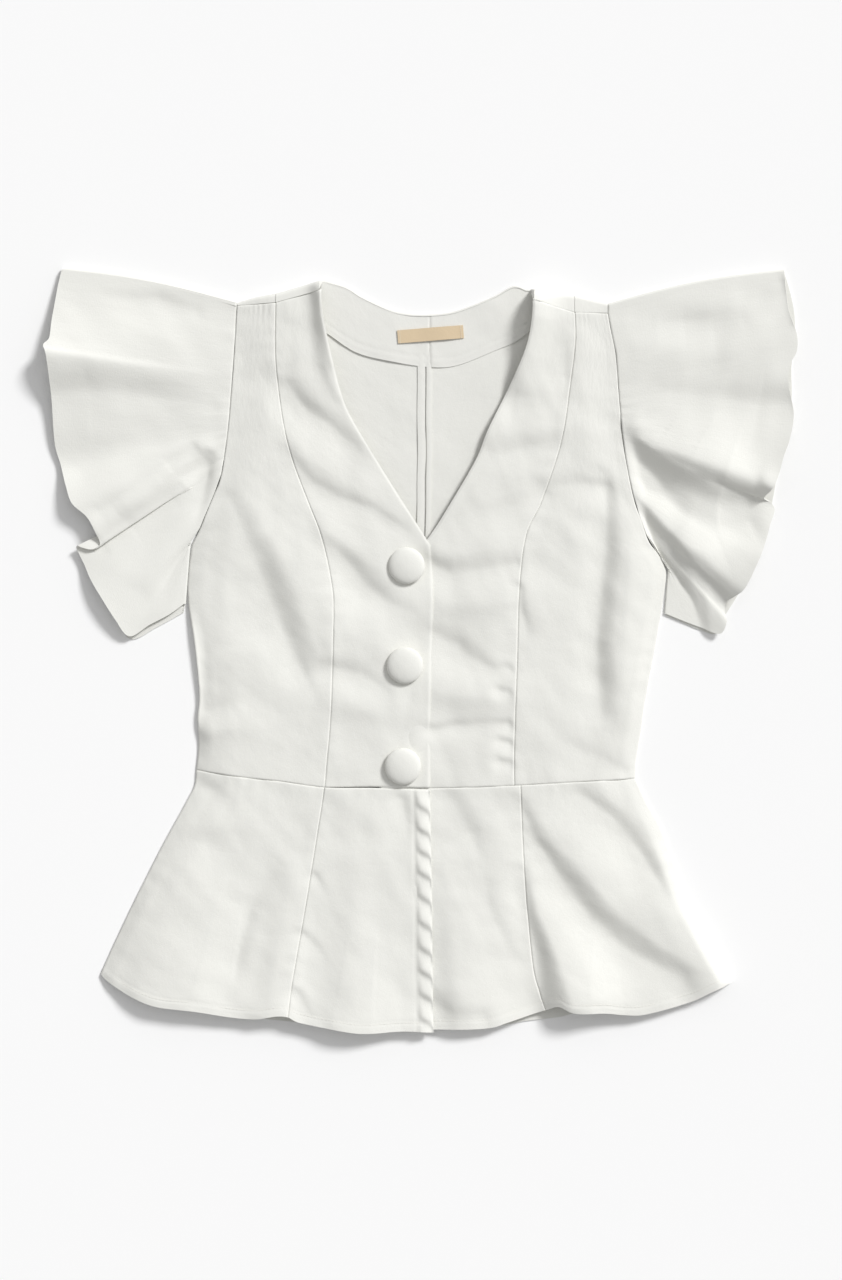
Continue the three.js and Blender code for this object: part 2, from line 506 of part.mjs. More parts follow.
// The back neck facing, laid on the back just inside the rolled neck edge and running under the front's edges
function facings() {
  const topY = (x) => {
    if (x > RIGHT.edge[0][0] && x < LEFT.edge[0][0]) {
      return turnOver(NECK_LINE, null, x).end - FACING_BACK;
    }
    const [edge, body] = x < 0 ? [SHOULDER.right, RIGHT] : [SHOULDER.left, LEFT];
    return turnOver(edge, body.edge[0][1], x).fold - FACING_BACK;
  };
  const low = sampled(FACING_LOW, 120);
  const half = (name, x0, x1) => {
    const top = (u) => new THREE.Vector2(lerp(x0, x1, u), topY(lerp(x0, x1, u)));
    const bottom = (u) => new THREE.Vector2(lerp(x0, x1, u), heightAt(low, lerp(x0, x1, u)));
    const end = (u) => (v) => top(u).lerp(bottom(u), v);
    const grid = patch({ left: end(0), right: end(1), top, bottom, rows: steps(3), columns: steps(9) });
    layPiece(name, facing, drawnIn(grid), () => FACING_TOP);
  };
  half("back_facing_right", FACING_LOW[0][0], FACING_CENTRE);
  half("back_facing_left", FACING_CENTRE, FACING_LOW.at(-1)[0]);
}

// The blank neck label
function neckLabel() {
  const { width, height, wall: thick, tilt, x, y } = LABEL_SIZE;
  const mesh = new THREE.Mesh(new THREE.BoxGeometry(width, height, thick), ribbon);
  mesh.name = "label";
  mesh.position.set(x, y, FACING_TOP + SEAM_GAP + thick / 2);
  mesh.rotation.z = THREE.MathUtils.degToRad(tilt);
  group.add(mesh);
}

// A flounce sleeve: one round wall whose front rises in waves, with rolls at the shoulder and the underarm
function sleeve(name, side, rows, backRows, away) {
  const points = SEAMS[side].armhole;
  const last = points.length - 1;
  const outwards = (k) => {
    const along = points[Math.min(k + 1, last)].clone().sub(points[Math.max(k - 1, 0)]).normalize();
    return new THREE.Vector2(along.y, -along.x).multiplyScalar(-away);
  };
  const armhole = points.map((p, k) => p.clone().addScaledVector(outwards(k), SEAM_DRAW));
  armhole[last].x += away * UNDERARM_CLEAR;
  const armAt = (station) => {
    const k = Math.min(Math.floor(station), last - 1);
    return armhole[k].clone().lerp(armhole[k + 1], station - k);
  };
  const between = (table, station) => {
    const k = Math.max(1, table.findIndex((row) => row[0] >= station));
    const share = (station - table[k - 1][0]) / (table[k][0] - table[k - 1][0]);
    return table[k].map((value, c) => lerp(table[k - 1][c], value, share));
  };

  // Rows of points from the armhole to the hem: on the front layer, on the back layer, over the two rolls
  const frontRow = (station) => {
    const [, x, y, z] = between(rows, station);
    const from = armAt(station);
    const armTop = frontTop(from.x, from.y);
    return SLEEVE_STEPS.map((v) => {
      const bow = SLEEVE_BOW * Math.max(0, 1 - station / BOWED_STATIONS) * Math.sin(Math.PI * v);
      return new THREE.Vector3(lerp(from.x, x, v), lerp(from.y, y, v) + bow, lerp(armTop, z, v));
    });
  };
  const backRow = (station) => {
    const [, x, y] = between(backRows, station);
    const from = armAt(station);
    return SLEEVE_STEPS.map((v) => new THREE.Vector3(lerp(from.x, x, v), lerp(from.y, y, v), 0));
  };
  const roll = (station, outX, outY, angle, drawnBack) =>
    frontRow(station).map((p) => {
      const r = p.z / 2;
      const out = r * (Math.sin(angle) - drawnBack);
      return new THREE.Vector3(p.x + outX * out, p.y + outY * out, r + r * Math.cos(angle));
    });

  const stationsOf = (table) => {
    const all = new Set([...table.map((row) => row[0]), ...armhole.keys()]);
    return [...all].filter((station) => station > 0 && station < last).sort((a, b) => a - b);
  };
  const turned = (outX, outY, angle) =>
    new THREE.Vector3(outX * Math.sin(angle), outY * Math.sin(angle), Math.cos(angle));
  const loop = [
    ...stationsOf(rows).map((station) => ({ row: frontRow(station), armNormal: UP })),
    ...TURN.map((angle) => ({ row: roll(last, -away, 0, angle, 0), armNormal: turned(-away, 0, angle) })),
    ...stationsOf(backRows).reverse().map((station) => ({ row: backRow(station), armNormal: DOWN })),
    ...TURN.toReversed().map((angle) => ({ row: roll(0, 0, 1, angle, 1), armNormal: turned(0, 1, angle) })),
  ];
  const outer = loop.map(({ row }) => (away < 0 ? row.toReversed() : row));
  const armColumn = away < 0 ? outer[0].length - 1 : 0;
  const inner = outer.map((row, i) => row.map((p, j) => {
    const down = outer[(i + 1) % outer.length][j].clone().sub(outer.at(i - 1)[j]);
    const across = row[Math.min(j + 1, row.length - 1)].clone().sub(row[Math.max(j - 1, 0)]);
    const normal = j === armColumn ? loop[i].armNormal : down.cross(across).normalize();
    return p.clone().addScaledVector(normal, -WALL);
  }));
  wall(name, cloth, outer, inner, true);
}

// A covered button: a low dome on a short shank, seated on the cloth below it
function button({ name, x, y }) {
  const { radius, height, shank, clear } = BUTTON;
  const topAt = (r, angle) => frontTop(x + r * Math.cos(angle), y + r * Math.sin(angle));
  const round = steps(12).map((turn) => turn * Math.PI * 2);
  const highest = (within) => Math.max(...steps(4).flatMap((t) => round.map((angle) => topAt(within * t, angle))));
  const seat = highest(shank) + SEAM_GAP;
  const rim = highest(radius) + clear - seat;
  const dome = BUTTON_DOME.map(([r, z]) => [radius * r, rim + height * z]);
  const profile = [[0, 0], [shank, 0], [shank, rim], ...dome].map(([r, z]) => new THREE.Vector2(r, z));
  const geometry = new THREE.LatheGeometry(profile, 20);
  const mesh = new THREE.Mesh(geometry.rotateX(Math.PI / 2), cloth);
  mesh.name = name;
  mesh.position.set(x, y, seat);
  group.add(mesh);
}

// The whole blouse
backPanels();
peplumBacks();
facings();
neckLabel();
frontPanels();
peplumFronts();
sleeve("sleeve_right", "right", SLEEVE_RIGHT, SLEEVE_RIGHT_BACK, -1);
sleeve("sleeve_left", "left", SLEEVE_LEFT, SLEEVE_LEFT_BACK, 1);
BUTTONS.forEach(button);

export default group;
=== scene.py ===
"""A V-neck blouse with princess seams, a flared peplum, flounce sleeves and three covered buttons.

It lies flat on its back on a white surface and is seen from straight above. Metres, with +X to the
viewer's right, +Y towards the neck and +Z up. Pieces are named by the wearer's side, so "right" is at -X.
"""
import math

import bpy
import numpy as np
from mathutils import Matrix, Vector


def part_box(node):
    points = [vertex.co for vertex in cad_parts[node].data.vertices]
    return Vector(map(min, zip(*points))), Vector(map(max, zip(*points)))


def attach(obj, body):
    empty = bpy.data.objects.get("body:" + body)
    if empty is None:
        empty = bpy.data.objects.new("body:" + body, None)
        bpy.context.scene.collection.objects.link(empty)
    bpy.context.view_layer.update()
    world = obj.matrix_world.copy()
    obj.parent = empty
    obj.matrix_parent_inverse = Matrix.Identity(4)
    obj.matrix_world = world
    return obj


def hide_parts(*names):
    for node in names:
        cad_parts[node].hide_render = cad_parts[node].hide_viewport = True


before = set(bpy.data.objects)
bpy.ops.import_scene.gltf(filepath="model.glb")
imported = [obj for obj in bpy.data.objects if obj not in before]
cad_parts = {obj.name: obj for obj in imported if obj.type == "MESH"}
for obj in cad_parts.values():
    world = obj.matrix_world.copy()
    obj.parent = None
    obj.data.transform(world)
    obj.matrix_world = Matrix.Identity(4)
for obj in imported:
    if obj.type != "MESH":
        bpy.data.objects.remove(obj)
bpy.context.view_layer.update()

bl_info = {
    "name": "Peplum blouse",
    "version": (1, 0, 0),
    "blender": (4, 5, 0),
    "location": "3D View > Sidebar > Blouse",
    "description": "Builds a laid-out peplum blouse and the surface and light that show it",
    "category": "Add Mesh",
}


def metres(table):
    """A table in millimetres as one in metres, however deep."""
    if isinstance(table, dict):
        return {key: metres(value) for key, value in table.items()}
    if isinstance(table, tuple):
        return tuple(metres(value) for value in table)
    return table / 1000


def rows_in_metres(rows):
    """The same for rows whose first number is a place along the armhole."""
    return tuple((row[0], *metres(row[1:])) for row in rows)


# Seam lines and edges in millimetres, (x, y) from the shoulder down
RIGHT = metres({
    "armhole": (
        (-162, 302.5), (-165, 255), (-170, 193), (-176, 153), (-182, 137), (-187, 125), (-194, 108),
        (-201.5, 93.5),
    ),
    "side": (
        (-201.5, 93.5), (-204.6, 70), (-205, 43), (-199, 5), (-195, -38), (-196.5, -60), (-196, -85),
        (-198, -105.5),
    ),
    "princess": (
        (-128, 305), (-128, 255), (-122, 203), (-112.5, 165), (-99.5, 130), (-87.5, 99), (-78.5, 57),
        (-77, 31), (-78.5, -26), (-80, -62), (-85, -120.5),
    ),
    "back_princess": ((-128, 311), (-126, 230), (-116, 150), (-100, 50), (-92, -50), (-90, -120.8)),
    "edge": (
        (-87.5, 316), (-86.5, 295), (-78, 255), (-70, 224.5), (-59.5, 200.5), (-26.5, 146), (4, 98),
        (8, 87), (10, 43), (8, -40), (7.5, -121),
    ),
    "waist": ((-198, -105.5), (-159, -111.5), (-126, -115), (-85, -120.5), (-41, -121), (7.5, -123)),
    "peplum_side": (
        (-198, -105.5), (-199.5, -119), (-206.5, -133), (-234.5, -185), (-266.5, -250.5), (-282, -285),
    ),
    "peplum_princess": ((-85, -120.5), (-93, -171), (-102.5, -230), (-113, -290), (-117, -321.5)),
    "peplum_edge": ((7.5, -123), (9, -203), (9.5, -251), (10.5, -335.5)),
    "hem": (
        (-282, -285), (-274.5, -292), (-253.5, -304.5), (-232, -312.5), (-199.5, -316.5), (-166, -322),
        (-145, -323.4), (-128.5, -320.8), (-117, -321.5), (-105, -327), (-64.5, -334.4), (-46, -335.8),
        (-18, -334.4), (10.5, -335.5),
    ),
    "shoulder_top": (
        (-162, 305.5), (-144, 310.5), (-128, 313.5), (-110, 318.5), (-94, 323.3), (-84.5, 325),
    ),
})
LEFT = metres({
    "armhole": (
        (163.8, 296), (166, 283), (171, 259.5), (173, 229), (178, 177), (186, 134.5), (193, 113.5),
        (200, 94.5), (209.5, 83), (215, 71),
    ),
    "side": ((215, 71), (214.3, 56), (207, 12), (197, -43), (193, -71), (189, -95), (188, -113)),
    "princess": (
        (134.5, 296.5), (135, 268.5), (130, 229), (123, 184), (106, 132), (92, 101), (86, 55), (84, -7),
        (81.5, -85), (81.5, -119),
    ),
    "back_princess": ((134.5, 311), (133, 230), (124, 150), (106, 50), (98, -50), (97, -118.5)),
    "edge": (
        (97, 306.5), (96.5, 290.5), (92, 266.5), (78, 233), (58.5, 193.5), (47, 165.5), (19, 118), (7, 100),
        (-10, 76), (-25, 48), (-33, 10), (-37, -70), (-37, -121.5),
    ),
    "waist": (
        (-37, -121.5), (7.5, -121.5), (56.5, -120), (87, -118.7), (122, -116.7), (155, -115), (188, -113),
    ),
    "peplum_side": (
        (188, -113), (197.5, -133), (210, -156), (224, -192), (235.5, -222), (260, -269.5), (273, -292),
    ),
    "peplum_princess": ((87, -118.7), (90.5, -196), (97.5, -274), (103.5, -300), (109, -316)),
    "peplum_edge": ((-37, -121.5), (-38, -230), (-40, -333)),
    "hem": (
        (-40, -333), (10.5, -333), (56.5, -331.7), (75, -327), (109, -316), (120, -312.3), (134, -317.5),
        (160, -317.8), (180, -320), (198, -319.3), (235.5, -309), (254.5, -300), (273, -292),
    ),
    "shoulder_top": ((92, 317.5), (110, 314.8), (134.5, 311.8), (150, 308), (163.8, 304.5)),
})
BACK_NECK = metres((
    (-84.5, 325), (-66.5, 319.5), (-52.5, 311), (-29.5, 300.3), (-13.5, 296.2), (6, 295.4), (26, 297.4),
    (45, 303.5), (65, 312), (81, 320.5), (92, 317.5),
))
FACING_LOW = metres((
    (-98, 286), (-83, 278.3), (-57, 261.5), (-25, 253.5), (7.5, 248.8), (32, 250.5), (65, 263.5),
    (85, 272.5), (104, 288),
))
CENTRE_BACK = metres((
    (4, 295.4), (3, 100), (3, -122),
))
BACK_HEM = metres((
    (-281, -286), (-253, -305), (-200, -317.5), (-140, -324.8), (-105, -328.6), (-78, -333.2),
    (-46, -334.5), (3, -334), (60, -331.5), (94, -326.2), (122, -323), (134, -320), (160, -318.5),
    (198, -318.8), (235, -308.6), (272.5, -292.2),
))
BACK_WAIST = metres((
    (-198, -105.5), (-90, -120.8), (3, -122), (97, -118.5), (188, -113),
))

# Main folds in the front, each a chain of places: x, y, width there and rise there, above 0 for a ridge and
# below 0 for a trough
MAIN_FOLDS = metres((
    ((98.5, 314, 10, 7), (96.5, 292, 10, 8), (89, 262, 9, 5.2), (79, 236, 7, 1.6)),
    ((-87, 314, 6, 0.6), (-86, 290, 6, 1.8), (-78, 252, 5, 0.8)),
    ((-88, 312, 6, 4.5), (-76, 238, 9, 0.5)),
    ((98, 302, 8, 6.5), (80, 232, 10, 0.8)),
    ((-124, 246, 12, 1.8), (-45, 182, 10, 1)),
    ((-104, 176, 12, 1.6), (-30, 122, 9, 1.4)),
    ((-84, 106, 10, 1.6), (-22, 62, 9, 0.8)),
    ((-76, 2, 10, 1.5), (-26, -6, 10, 0.8)),
    ((-74, -48, 11, 1.5), (-30, -56, 12, 1)),
    ((-181, 168, 14, 0.8), (-156, 78, 18, 1.4)),
    ((-156, 78, 18, 1.4), (-128, -30, 16, 0.8)),
    ((-192, -70, 9, 3), (-160, -66, 10, 1.6)),
    ((16, 82, 9, 1.6), (80, 92, 9, 1.2)),
    ((18, 42, 12, 1.5), (80, 46, 12, 1.8)),
    ((18, -38, 12, 1.6), (78, -40, 12, 1.4)),
    ((60, 190, 10, 1.4), (118, 196, 10, 1.6)),
    ((-190, -170, 16, 1), (-232, -306, 24, 5)),
    ((-112, -200, 12, 1), (-132, -322, 16, 4)),
    ((-52, -170, 18, 0.8), (-60, -334, 22, 4.5)),
    ((22, -160, 15, 0.8), (36, -332, 19, 5)),
))

# Sleeve rows from the shoulder to the underarm: place along the armhole, then the hem's x, y and z there
SLEEVE_RIGHT = rows_in_metres((
    (0, -315.5, 336, 5.4), (1, -319, 321, 6), (2, -321.5, 305.5, 7.5), (3, -324, 288.5, 10),
    (4, -325.5, 273, 12.5), (4.5, -330.4, 266.5, 14.5), (5, -327.5, 257, 16.5), (6, -324.5, 224.5, 11.5),
    (7, -322, 182, 6.2), (7.5, -317, 163, 5.8), (8, -312, 145, 9.6), (8.5, -306, 128.5, 11.6),
    (9, -293.5, 117, 10.6), (9.2, -286, 104, 10), (9.4, -282, 92.5, 9.2), (9.6, -290, 88, 8),
    (9.9, -302.5, 90.5, 6.8), (10.2, -300, 83, 6.4), (10.5, -296, 75, 6.6), (11.2, -290, 61.5, 8.2),
    (12.2, -280, 45, 10), (13.2, -268.5, 27, 9.6), (13.85, -256.5, 12, 6.5), (13.9, -239, 22, 5.2),
    (13.95, -222, 31, 4.6), (14, -208.8, 40.5, 3.4),
))
SLEEVE_RIGHT_BACK = rows_in_metres((
    (0, -315.5, 335), (1, -318, 321), (3, -322, 288.5), (4, -324, 273), (6, -322, 224.5), (8, -309, 146),
    (9, -291, 116), (10, -279, 92), (11, -284, 66), (12, -278, 46), (13, -268.5, 28), (13.85, -255.5, 9.5),
    (13.93, -232, 20.5), (14, -207.6, 34),
))
SLEEVE_LEFT = rows_in_metres((
    (0, 318.5, 334.5, 5.4), (1, 319.3, 322, 5.8), (2, 320.3, 311.5, 6.4), (3, 322.3, 297.5, 7.4),
    (4, 328.8, 277, 9), (4.5, 328.8, 262, 9.4), (5, 323, 250, 9.8), (5.5, 321.3, 234, 11),
    (6, 326, 208, 13), (6.25, 322.5, 186.5, 14.4), (6.5, 316.3, 169, 15), (6.75, 312.5, 155, 15.2),
    (7, 307, 141.5, 14.2), (7.3, 300, 133.5, 9.2), (7.8, 302.5, 131, 6.6), (8.2, 307, 129, 6),
    (8.6, 310, 122.5, 6.6), (9.2, 305.7, 110, 8.8), (9.5, 301.3, 95, 11.2), (10, 294.3, 77.5, 13.8),
    (10.5, 283, 54.5, 12.4), (10.75, 274, 46.5, 8.4), (11, 268, 42.3, 4.8), (11.5, 266.5, 33.5, 5.6),
    (12, 267.8, 24.5, 7), (13, 262, 14.2, 6.2), (13.85, 245, 20, 5.2), (13.92, 228, 26.5, 4.6),
    (14, 214.8, 32, 3.4),
))
SLEEVE_LEFT_BACK = rows_in_metres((
    (0, 318.5, 333.5), (1, 322.5, 321.5), (2, 326.5, 305.5), (3, 328.5, 290.5), (4, 328.5, 268.5),
    (5, 325.5, 249), (6, 325, 212), (7, 314, 160), (8, 309, 132), (9, 303, 108), (10, 291, 75),
    (11, 278, 48), (12, 265, 27), (13, 259, 14.5), (13.85, 243, 18.5), (13.93, 227, 25.5), (14, 213.6, 31),
))

# Heights and layers
REST_TOP = 0.0053  # usual height of the front's upper face
EDGE_TOP = 0.0024  # its height at a side seam
LOW_TOP = 0.0031  # the lowest that a trough may lie
LOW_EASE = 0.0007  # how softly a trough runs out there
SLEEVE_LOW = 0.0025  # the same two on a sleeve
SLEEVE_EASE = 0.0008
SLEEVE_BACK = 0.0002  # height of a sleeve's back layer
LAP_TOP = 0.0049  # the same where a facing or the under front lies below
LAYERED = (0.108, 0.128)  # |x| over which the one gives way to the other
LAP_STEP = 0.0013  # how far the under front lies below the over front
LAP_PAST = 0.005  # how far past the lap's edge it begins to rise
LAP_RISE = 0.032  # over which length it comes up
BODY_LIFT = 0.003  # how much higher the soft cloth stands over the side panels
BODY_EASE = 0.035  # over which length that lift comes in from the sides
SIDE_ROLL = 0.014  # width of the roll at a side seam
UNDERARM_ROLL = 0.026  # length over which it starts below the arm
BACK_TOP = 0.0013
FACING_TOP = 0.0029
NECK_ROLL = 0.0029  # height of the roll at the back of the neck
NECK_LIP = 0.0006  # width of the lip that it turns to the inside
FACING_BACK = 0.0026  # how far the facing lies behind the turned shoulder
FACING_CENTRE = 0.0075
FACING_SIZE = (0.105, 0.05)
BACK_HEM_CENTRE = -0.334
UNDERARM_CLEAR = 0.0028
SEAM_DRAW = 0.00017  # half the gap between two pieces that are sewn together
BODICE_LENGTH = 0.43
PEPLUM_LENGTH = 0.215
SLEEVE_LENGTH = 0.15
SLEEVE_BOW = 0.0045  # rise of a sleeve's top edge between its ends
BOWED_STATIONS = 3
ARM_ROWS = 13
MAIN_SPREAD = 2.0  # how much wider the bright slope of a main fold is than the dark one
FINE_SPREAD = 2.6  # the same for the smaller folds
SLEEVE_SPREAD = 2.2  # and for those on the sleeves
HALF_TURN = np.linspace(0, math.pi, 9)

# Soft irregular waves: how many, their lengths, and the bend in each
WAVES = 22
WAVE_LENGTHS = (0.018, 0.085)
WAVE_SUM = 0.16
WAVE_BEND = 0.006
BEND_LENGTHS = (0.07, 0.16)

# Finishes of the edges, as distances in from the edge and heights
FOLD_GROOVE = 0.0012
HEM_STEP = 0.00025
HEM_TURN = 0.0065
HEM_LINE = 0.0078  # where the hem is sewn
HEM_DIP = 0.00022
TWIST_WIDTH = 0.0135  # of the strip that twists along the opening
TWIST_BULGE = 0.0011
TWIST_PITCH = 0.0212  # from tuck to tuck
TWIST_LEAN = 0.55
TUCK_HEIGHT = 0.0021
TUCK_FALL = 0.72  # share of a tuck after which it falls
TWIST_LINE = 0.0145
NECK_DIP = 0.0005  # of the facing at its centre seam and above its hem
CALM_EDGE = 0.012  # width beside an edge over which the waves calm down

# The smaller folds, in the same way
FINE_FOLDS = metres((
    ((-168.5, 132, 8.8, -1.4), (-155.3, 96.8, 12.3, -4), (-143, 66.9, 14.1, -5), (-126.3, 22.9, 13.2, -5.2),
     (-110.4, -11.4, 8.8, -3.8), (-99.9, -29.9, 5.3, -0.8)),
    ((-198.4, -54.6, 6.2, -2.2), (-184.4, -54.6, 7, -2.6), (-170.3, -49.3, 6.2, -1)),
    ((-194.9, -74.8, 8.8, 1.6), (-172, -65.1, 7.9, 0.8)),
    ((-115.7, 281.6, 7.9, -1), (-121, 237.6, 8.8, -3.2), (-106.9, 213.8, 8.8, -4),
     (-80.5, 196.2, 7.9, -2.4), (-61.2, 177.8, 6.2, -0.7)),
    ((-91.1, 313.3, 7.9, 2), (-88.4, 283.4, 7.9, 2.8), (-84, 253.4, 7, 2.6), (-73.5, 225.3, 5.3, 1.2)),
    ((-119.2, 174.2, 5.3, -0.8), (-96.4, 146.1, 6.2, -1.8), (-71.7, 132, 6.2, -1.9),
     (-43.6, 123.2, 6.2, -1.6), (-15.4, 105.6, 4.4, -0.8)),
    ((-75.2, 88, 6.2, -1.4), (-62.9, 72.2, 8.8, -3.4), (-47.1, 52.8, 8.8, -3.6), (-26, 38.7, 7, -1.8),
     (-6.6, 31.7, 5.3, -0.5)),
    ((-77, -16.7, 6.2, -2), (-52.4, -22.9, 7.9, -2.6), (-31.2, -37, 6.2, -1.2)),
    ((-62.9, -44, 10.6, 1.2), (-26, -58.1, 8.8, 0.6)),
    ((-20.7, -81, 5.3, -0.8), (-11.9, -44, 5.3, -0.9), (-8.4, -26.4, 4.4, -0.3)),
    ((-71.7, 22, 12.3, 1), (-27.7, 0, 10.6, 0.8)),
    ((9.2, 73.9, 8.8, -4), (26.8, 65.1, 9.7, -3.6), (53.2, 68.6, 7, -1.5), (83.2, 74.8, 4.4, -1.4)),
    ((11, 10.6, 9.7, -3.8), (30.4, 0, 10.6, -4.4), (51.5, -13.2, 7.9, -2.6), (67.3, -19.4, 5.3, -1.8),
     (76.1, -15.8, 3.5, -1.4)),
    ((10.1, -70.4, 3.5, -2), (30.4, -66.9, 4, -2), (56.8, -65.1, 4.4, -1.3), (76.1, -65.1, 3.5, -1.8)),
    ((70, -36.1, 3.1, -1.8), (76.1, -37, 3.1, -1.6)),
    ((70.8, -80.1, 3.1, -1.8), (77, -81.8, 3.1, -1.8)),
    ((70.8, -98.6, 3.1, -1.8), (77, -99.4, 3.1, -1.6)),
    ((77.9, 235.8, 7.9, -1.2), (81.4, 221.8, 8.8, -2.2), (100.8, 220, 7, -0.8)),
    ((124.5, 264, 5.3, -0.6), (125.4, 239.4, 5.3, -1.6), (123.6, 223.5, 4.4, -0.8)),
    ((67.3, 170.7, 5.3, -0.9), (90.2, 176, 6.2, -1.4), (116.6, 182.2, 4.4, -0.8)),
    ((58.5, 119.7, 5.3, -0.7), (81.4, 126.7, 6.2, -1.1), (108.7, 136.4, 4.4, -0.9)),
    ((21.6, 44, 14.1, 1.2), (69.1, 38.7, 12.3, 1)),
    ((21.6, -35.2, 14.1, 1), (69.1, -44, 11.4, 0.8)),
    ((25.1, 132, 14.1, 0.9), (95.5, 158.4, 14.1, 0.9)),
    ((159.7, 153.1, 6.2, -1.2), (161.5, 123.2, 7, -3.6), (160.6, 92.4, 7.9, -4.2), (156.2, 52.8, 8.4, -4.6),
     (151.8, 8.8, 8.4, -4.6), (153.6, -26.4, 8.4, -4), (157.1, -66.9, 7.9, -1)),
    ((176.4, 132, 8.8, 1), (177.3, 92.4, 8.8, 2.2), (173.8, 52.8, 9.7, 2.6), (170.3, 8.8, 9.7, 2.8),
     (172.9, -35.2, 8.8, 2), (174.7, -65.1, 7.9, 0.5)),
    ((-138.6, 114.4, 10.6, 0.6), (-119.2, 79.2, 13.2, 2.4), (-101.6, 33.4, 13.2, 3), (-89.3, -4.4, 8.8, 2)),
    ((148.3, 114.4, 14.1, 1.3), (139.5, 26.4, 14.1, 1.3), (144.8, -35.2, 10.6, 0.6)),
    ((186.1, 114.4, 7.9, 1.2), (181.7, 8.8, 7.9, 1.4), (176.4, -61.6, 7, 0.6)),
    ((85.8, 54.6, 3.5, -1.6), (86.7, 37, 4.4, -2.2), (92, 17.6, 3.5, -0.6)),
    ((109.6, 140.8, 7, -2), (136, 144.3, 7.9, -2.6), (162.4, 142.6, 5.3, -1.8)),
    ((123.6, -82.7, 7, -0.7), (153.6, -95, 7.9, -1.4), (178.2, -107.4, 5.3, -1)),
    ((86.7, -137.3, 6.2, -1.8), (97.2, -163.7, 8.8, -3.4), (118.4, -198.9, 10.6, -4.2),
     (148.3, -237.6, 11.4, -4.2), (183.5, -267.5, 10.6, -3), (227.5, -286.9, 7.9, -1.4)),
    ((143, -128.5, 7, -1.8), (169.4, -150.5, 10.6, -4.6), (189.6, -176, 8.8, -4.4),
     (202.8, -197.1, 7.9, -4), (209.9, -207.7, 5.3, -1.4)),
    ((89.3, -195.4, 4.4, -1.4), (92, -232.3, 6.2, -2.4), (99, -265.8, 7.9, -3.2), (104.3, -309.8, 9.7, -3.6)),
    ((96.4, -205.9, 6.2, 1.4), (104.3, -232.3, 8.8, 3.8), (119.2, -265.8, 12.3, 7.5),
     (133.3, -311.5, 16.7, 11)),
    ((104.3, -160.2, 8.8, 1.6), (135.1, -184.8, 11.4, 3.4), (164.1, -220, 13.2, 4.6),
     (205.5, -255.2, 12.3, 4.2), (236.3, -274.6, 8.8, 2)),
    ((213.4, -205.9, 19.4, 3), (243.3, -248.2, 24.6, 6.5), (264.4, -294.8, 22.9, 6.5)),
    ((25.1, -132, 10.6, -1.8), (40.9, -161.9, 10.6, -3.2), (49.7, -183, 7.9, -0.8)),
    ((53.2, -195.4, 7, -0.8), (56.8, -224.4, 9.7, -2.6), (72.6, -259.6, 8.8, -1.6)),
    ((12.8, -311.5, 7.9, -1.6), (26.8, -322.1, 7.9, -2.4), (53.2, -322.1, 6.2, -1.4)),
    ((-207.2, -172.5, 8.8, -1.2), (-187.9, -169, 9.7, -1.8), (-163.2, -163.7, 7, -0.9)),
    ((-128, -186.6, 5.3, -0.8), (-150.9, -225.3, 6.2, -2.4), (-159.7, -255.2, 7, -3),
     (-164.1, -278.1, 7, -2.6), (-173.8, -311.5, 7, -0.6)),
    ((-92.8, -198.9, 3.1, -1.3), (-87.6, -207.7, 3.1, -0.5)),
    ((-103.4, -249.9, 3.5, -1.4), (-92.8, -260.5, 4, -1), (-85.8, -267.5, 2.6, -0.3)),
    ((-108.7, -301, 4.4, -1.6), (-101.6, -316.8, 5.3, -1.2)),
    ((-17.2, -132, 4.4, -1.6), (-13.6, -151.4, 5.3, -1.2), (-18.9, -176, 7, -0.5)),
    ((-43.6, -202.4, 15.8, -0.8), (-48.8, -272.8, 15.8, -1)),
    ((-256.5, -246.4, 19.4, 0.8), (-212.5, -220, 19.4, 1)),
    ((-196.7, -119.7, 7.9, -2), (-182.6, -125, 7.9, -2.4), (-170.3, -132, 6.2, -1)),
    ((-238.9, -308, 19.4, 1.2), (-205.5, -318.6, 22.9, 3.6), (-170.3, -325.6, 22.9, 4.4),
     (-138.6, -327.4, 14.1, 2)),
    ((-114, -330.9, 15.8, 2.2), (-80.5, -339.7, 22.9, 4.8), (-43.6, -343.2, 21.1, 4),
     (-17.2, -343.2, 14.1, 1.2)),
    ((118.4, -313.3, 12.3, 3), (148.3, -318.6, 21.1, 4.5), (178.2, -315, 17.6, 2)),
))

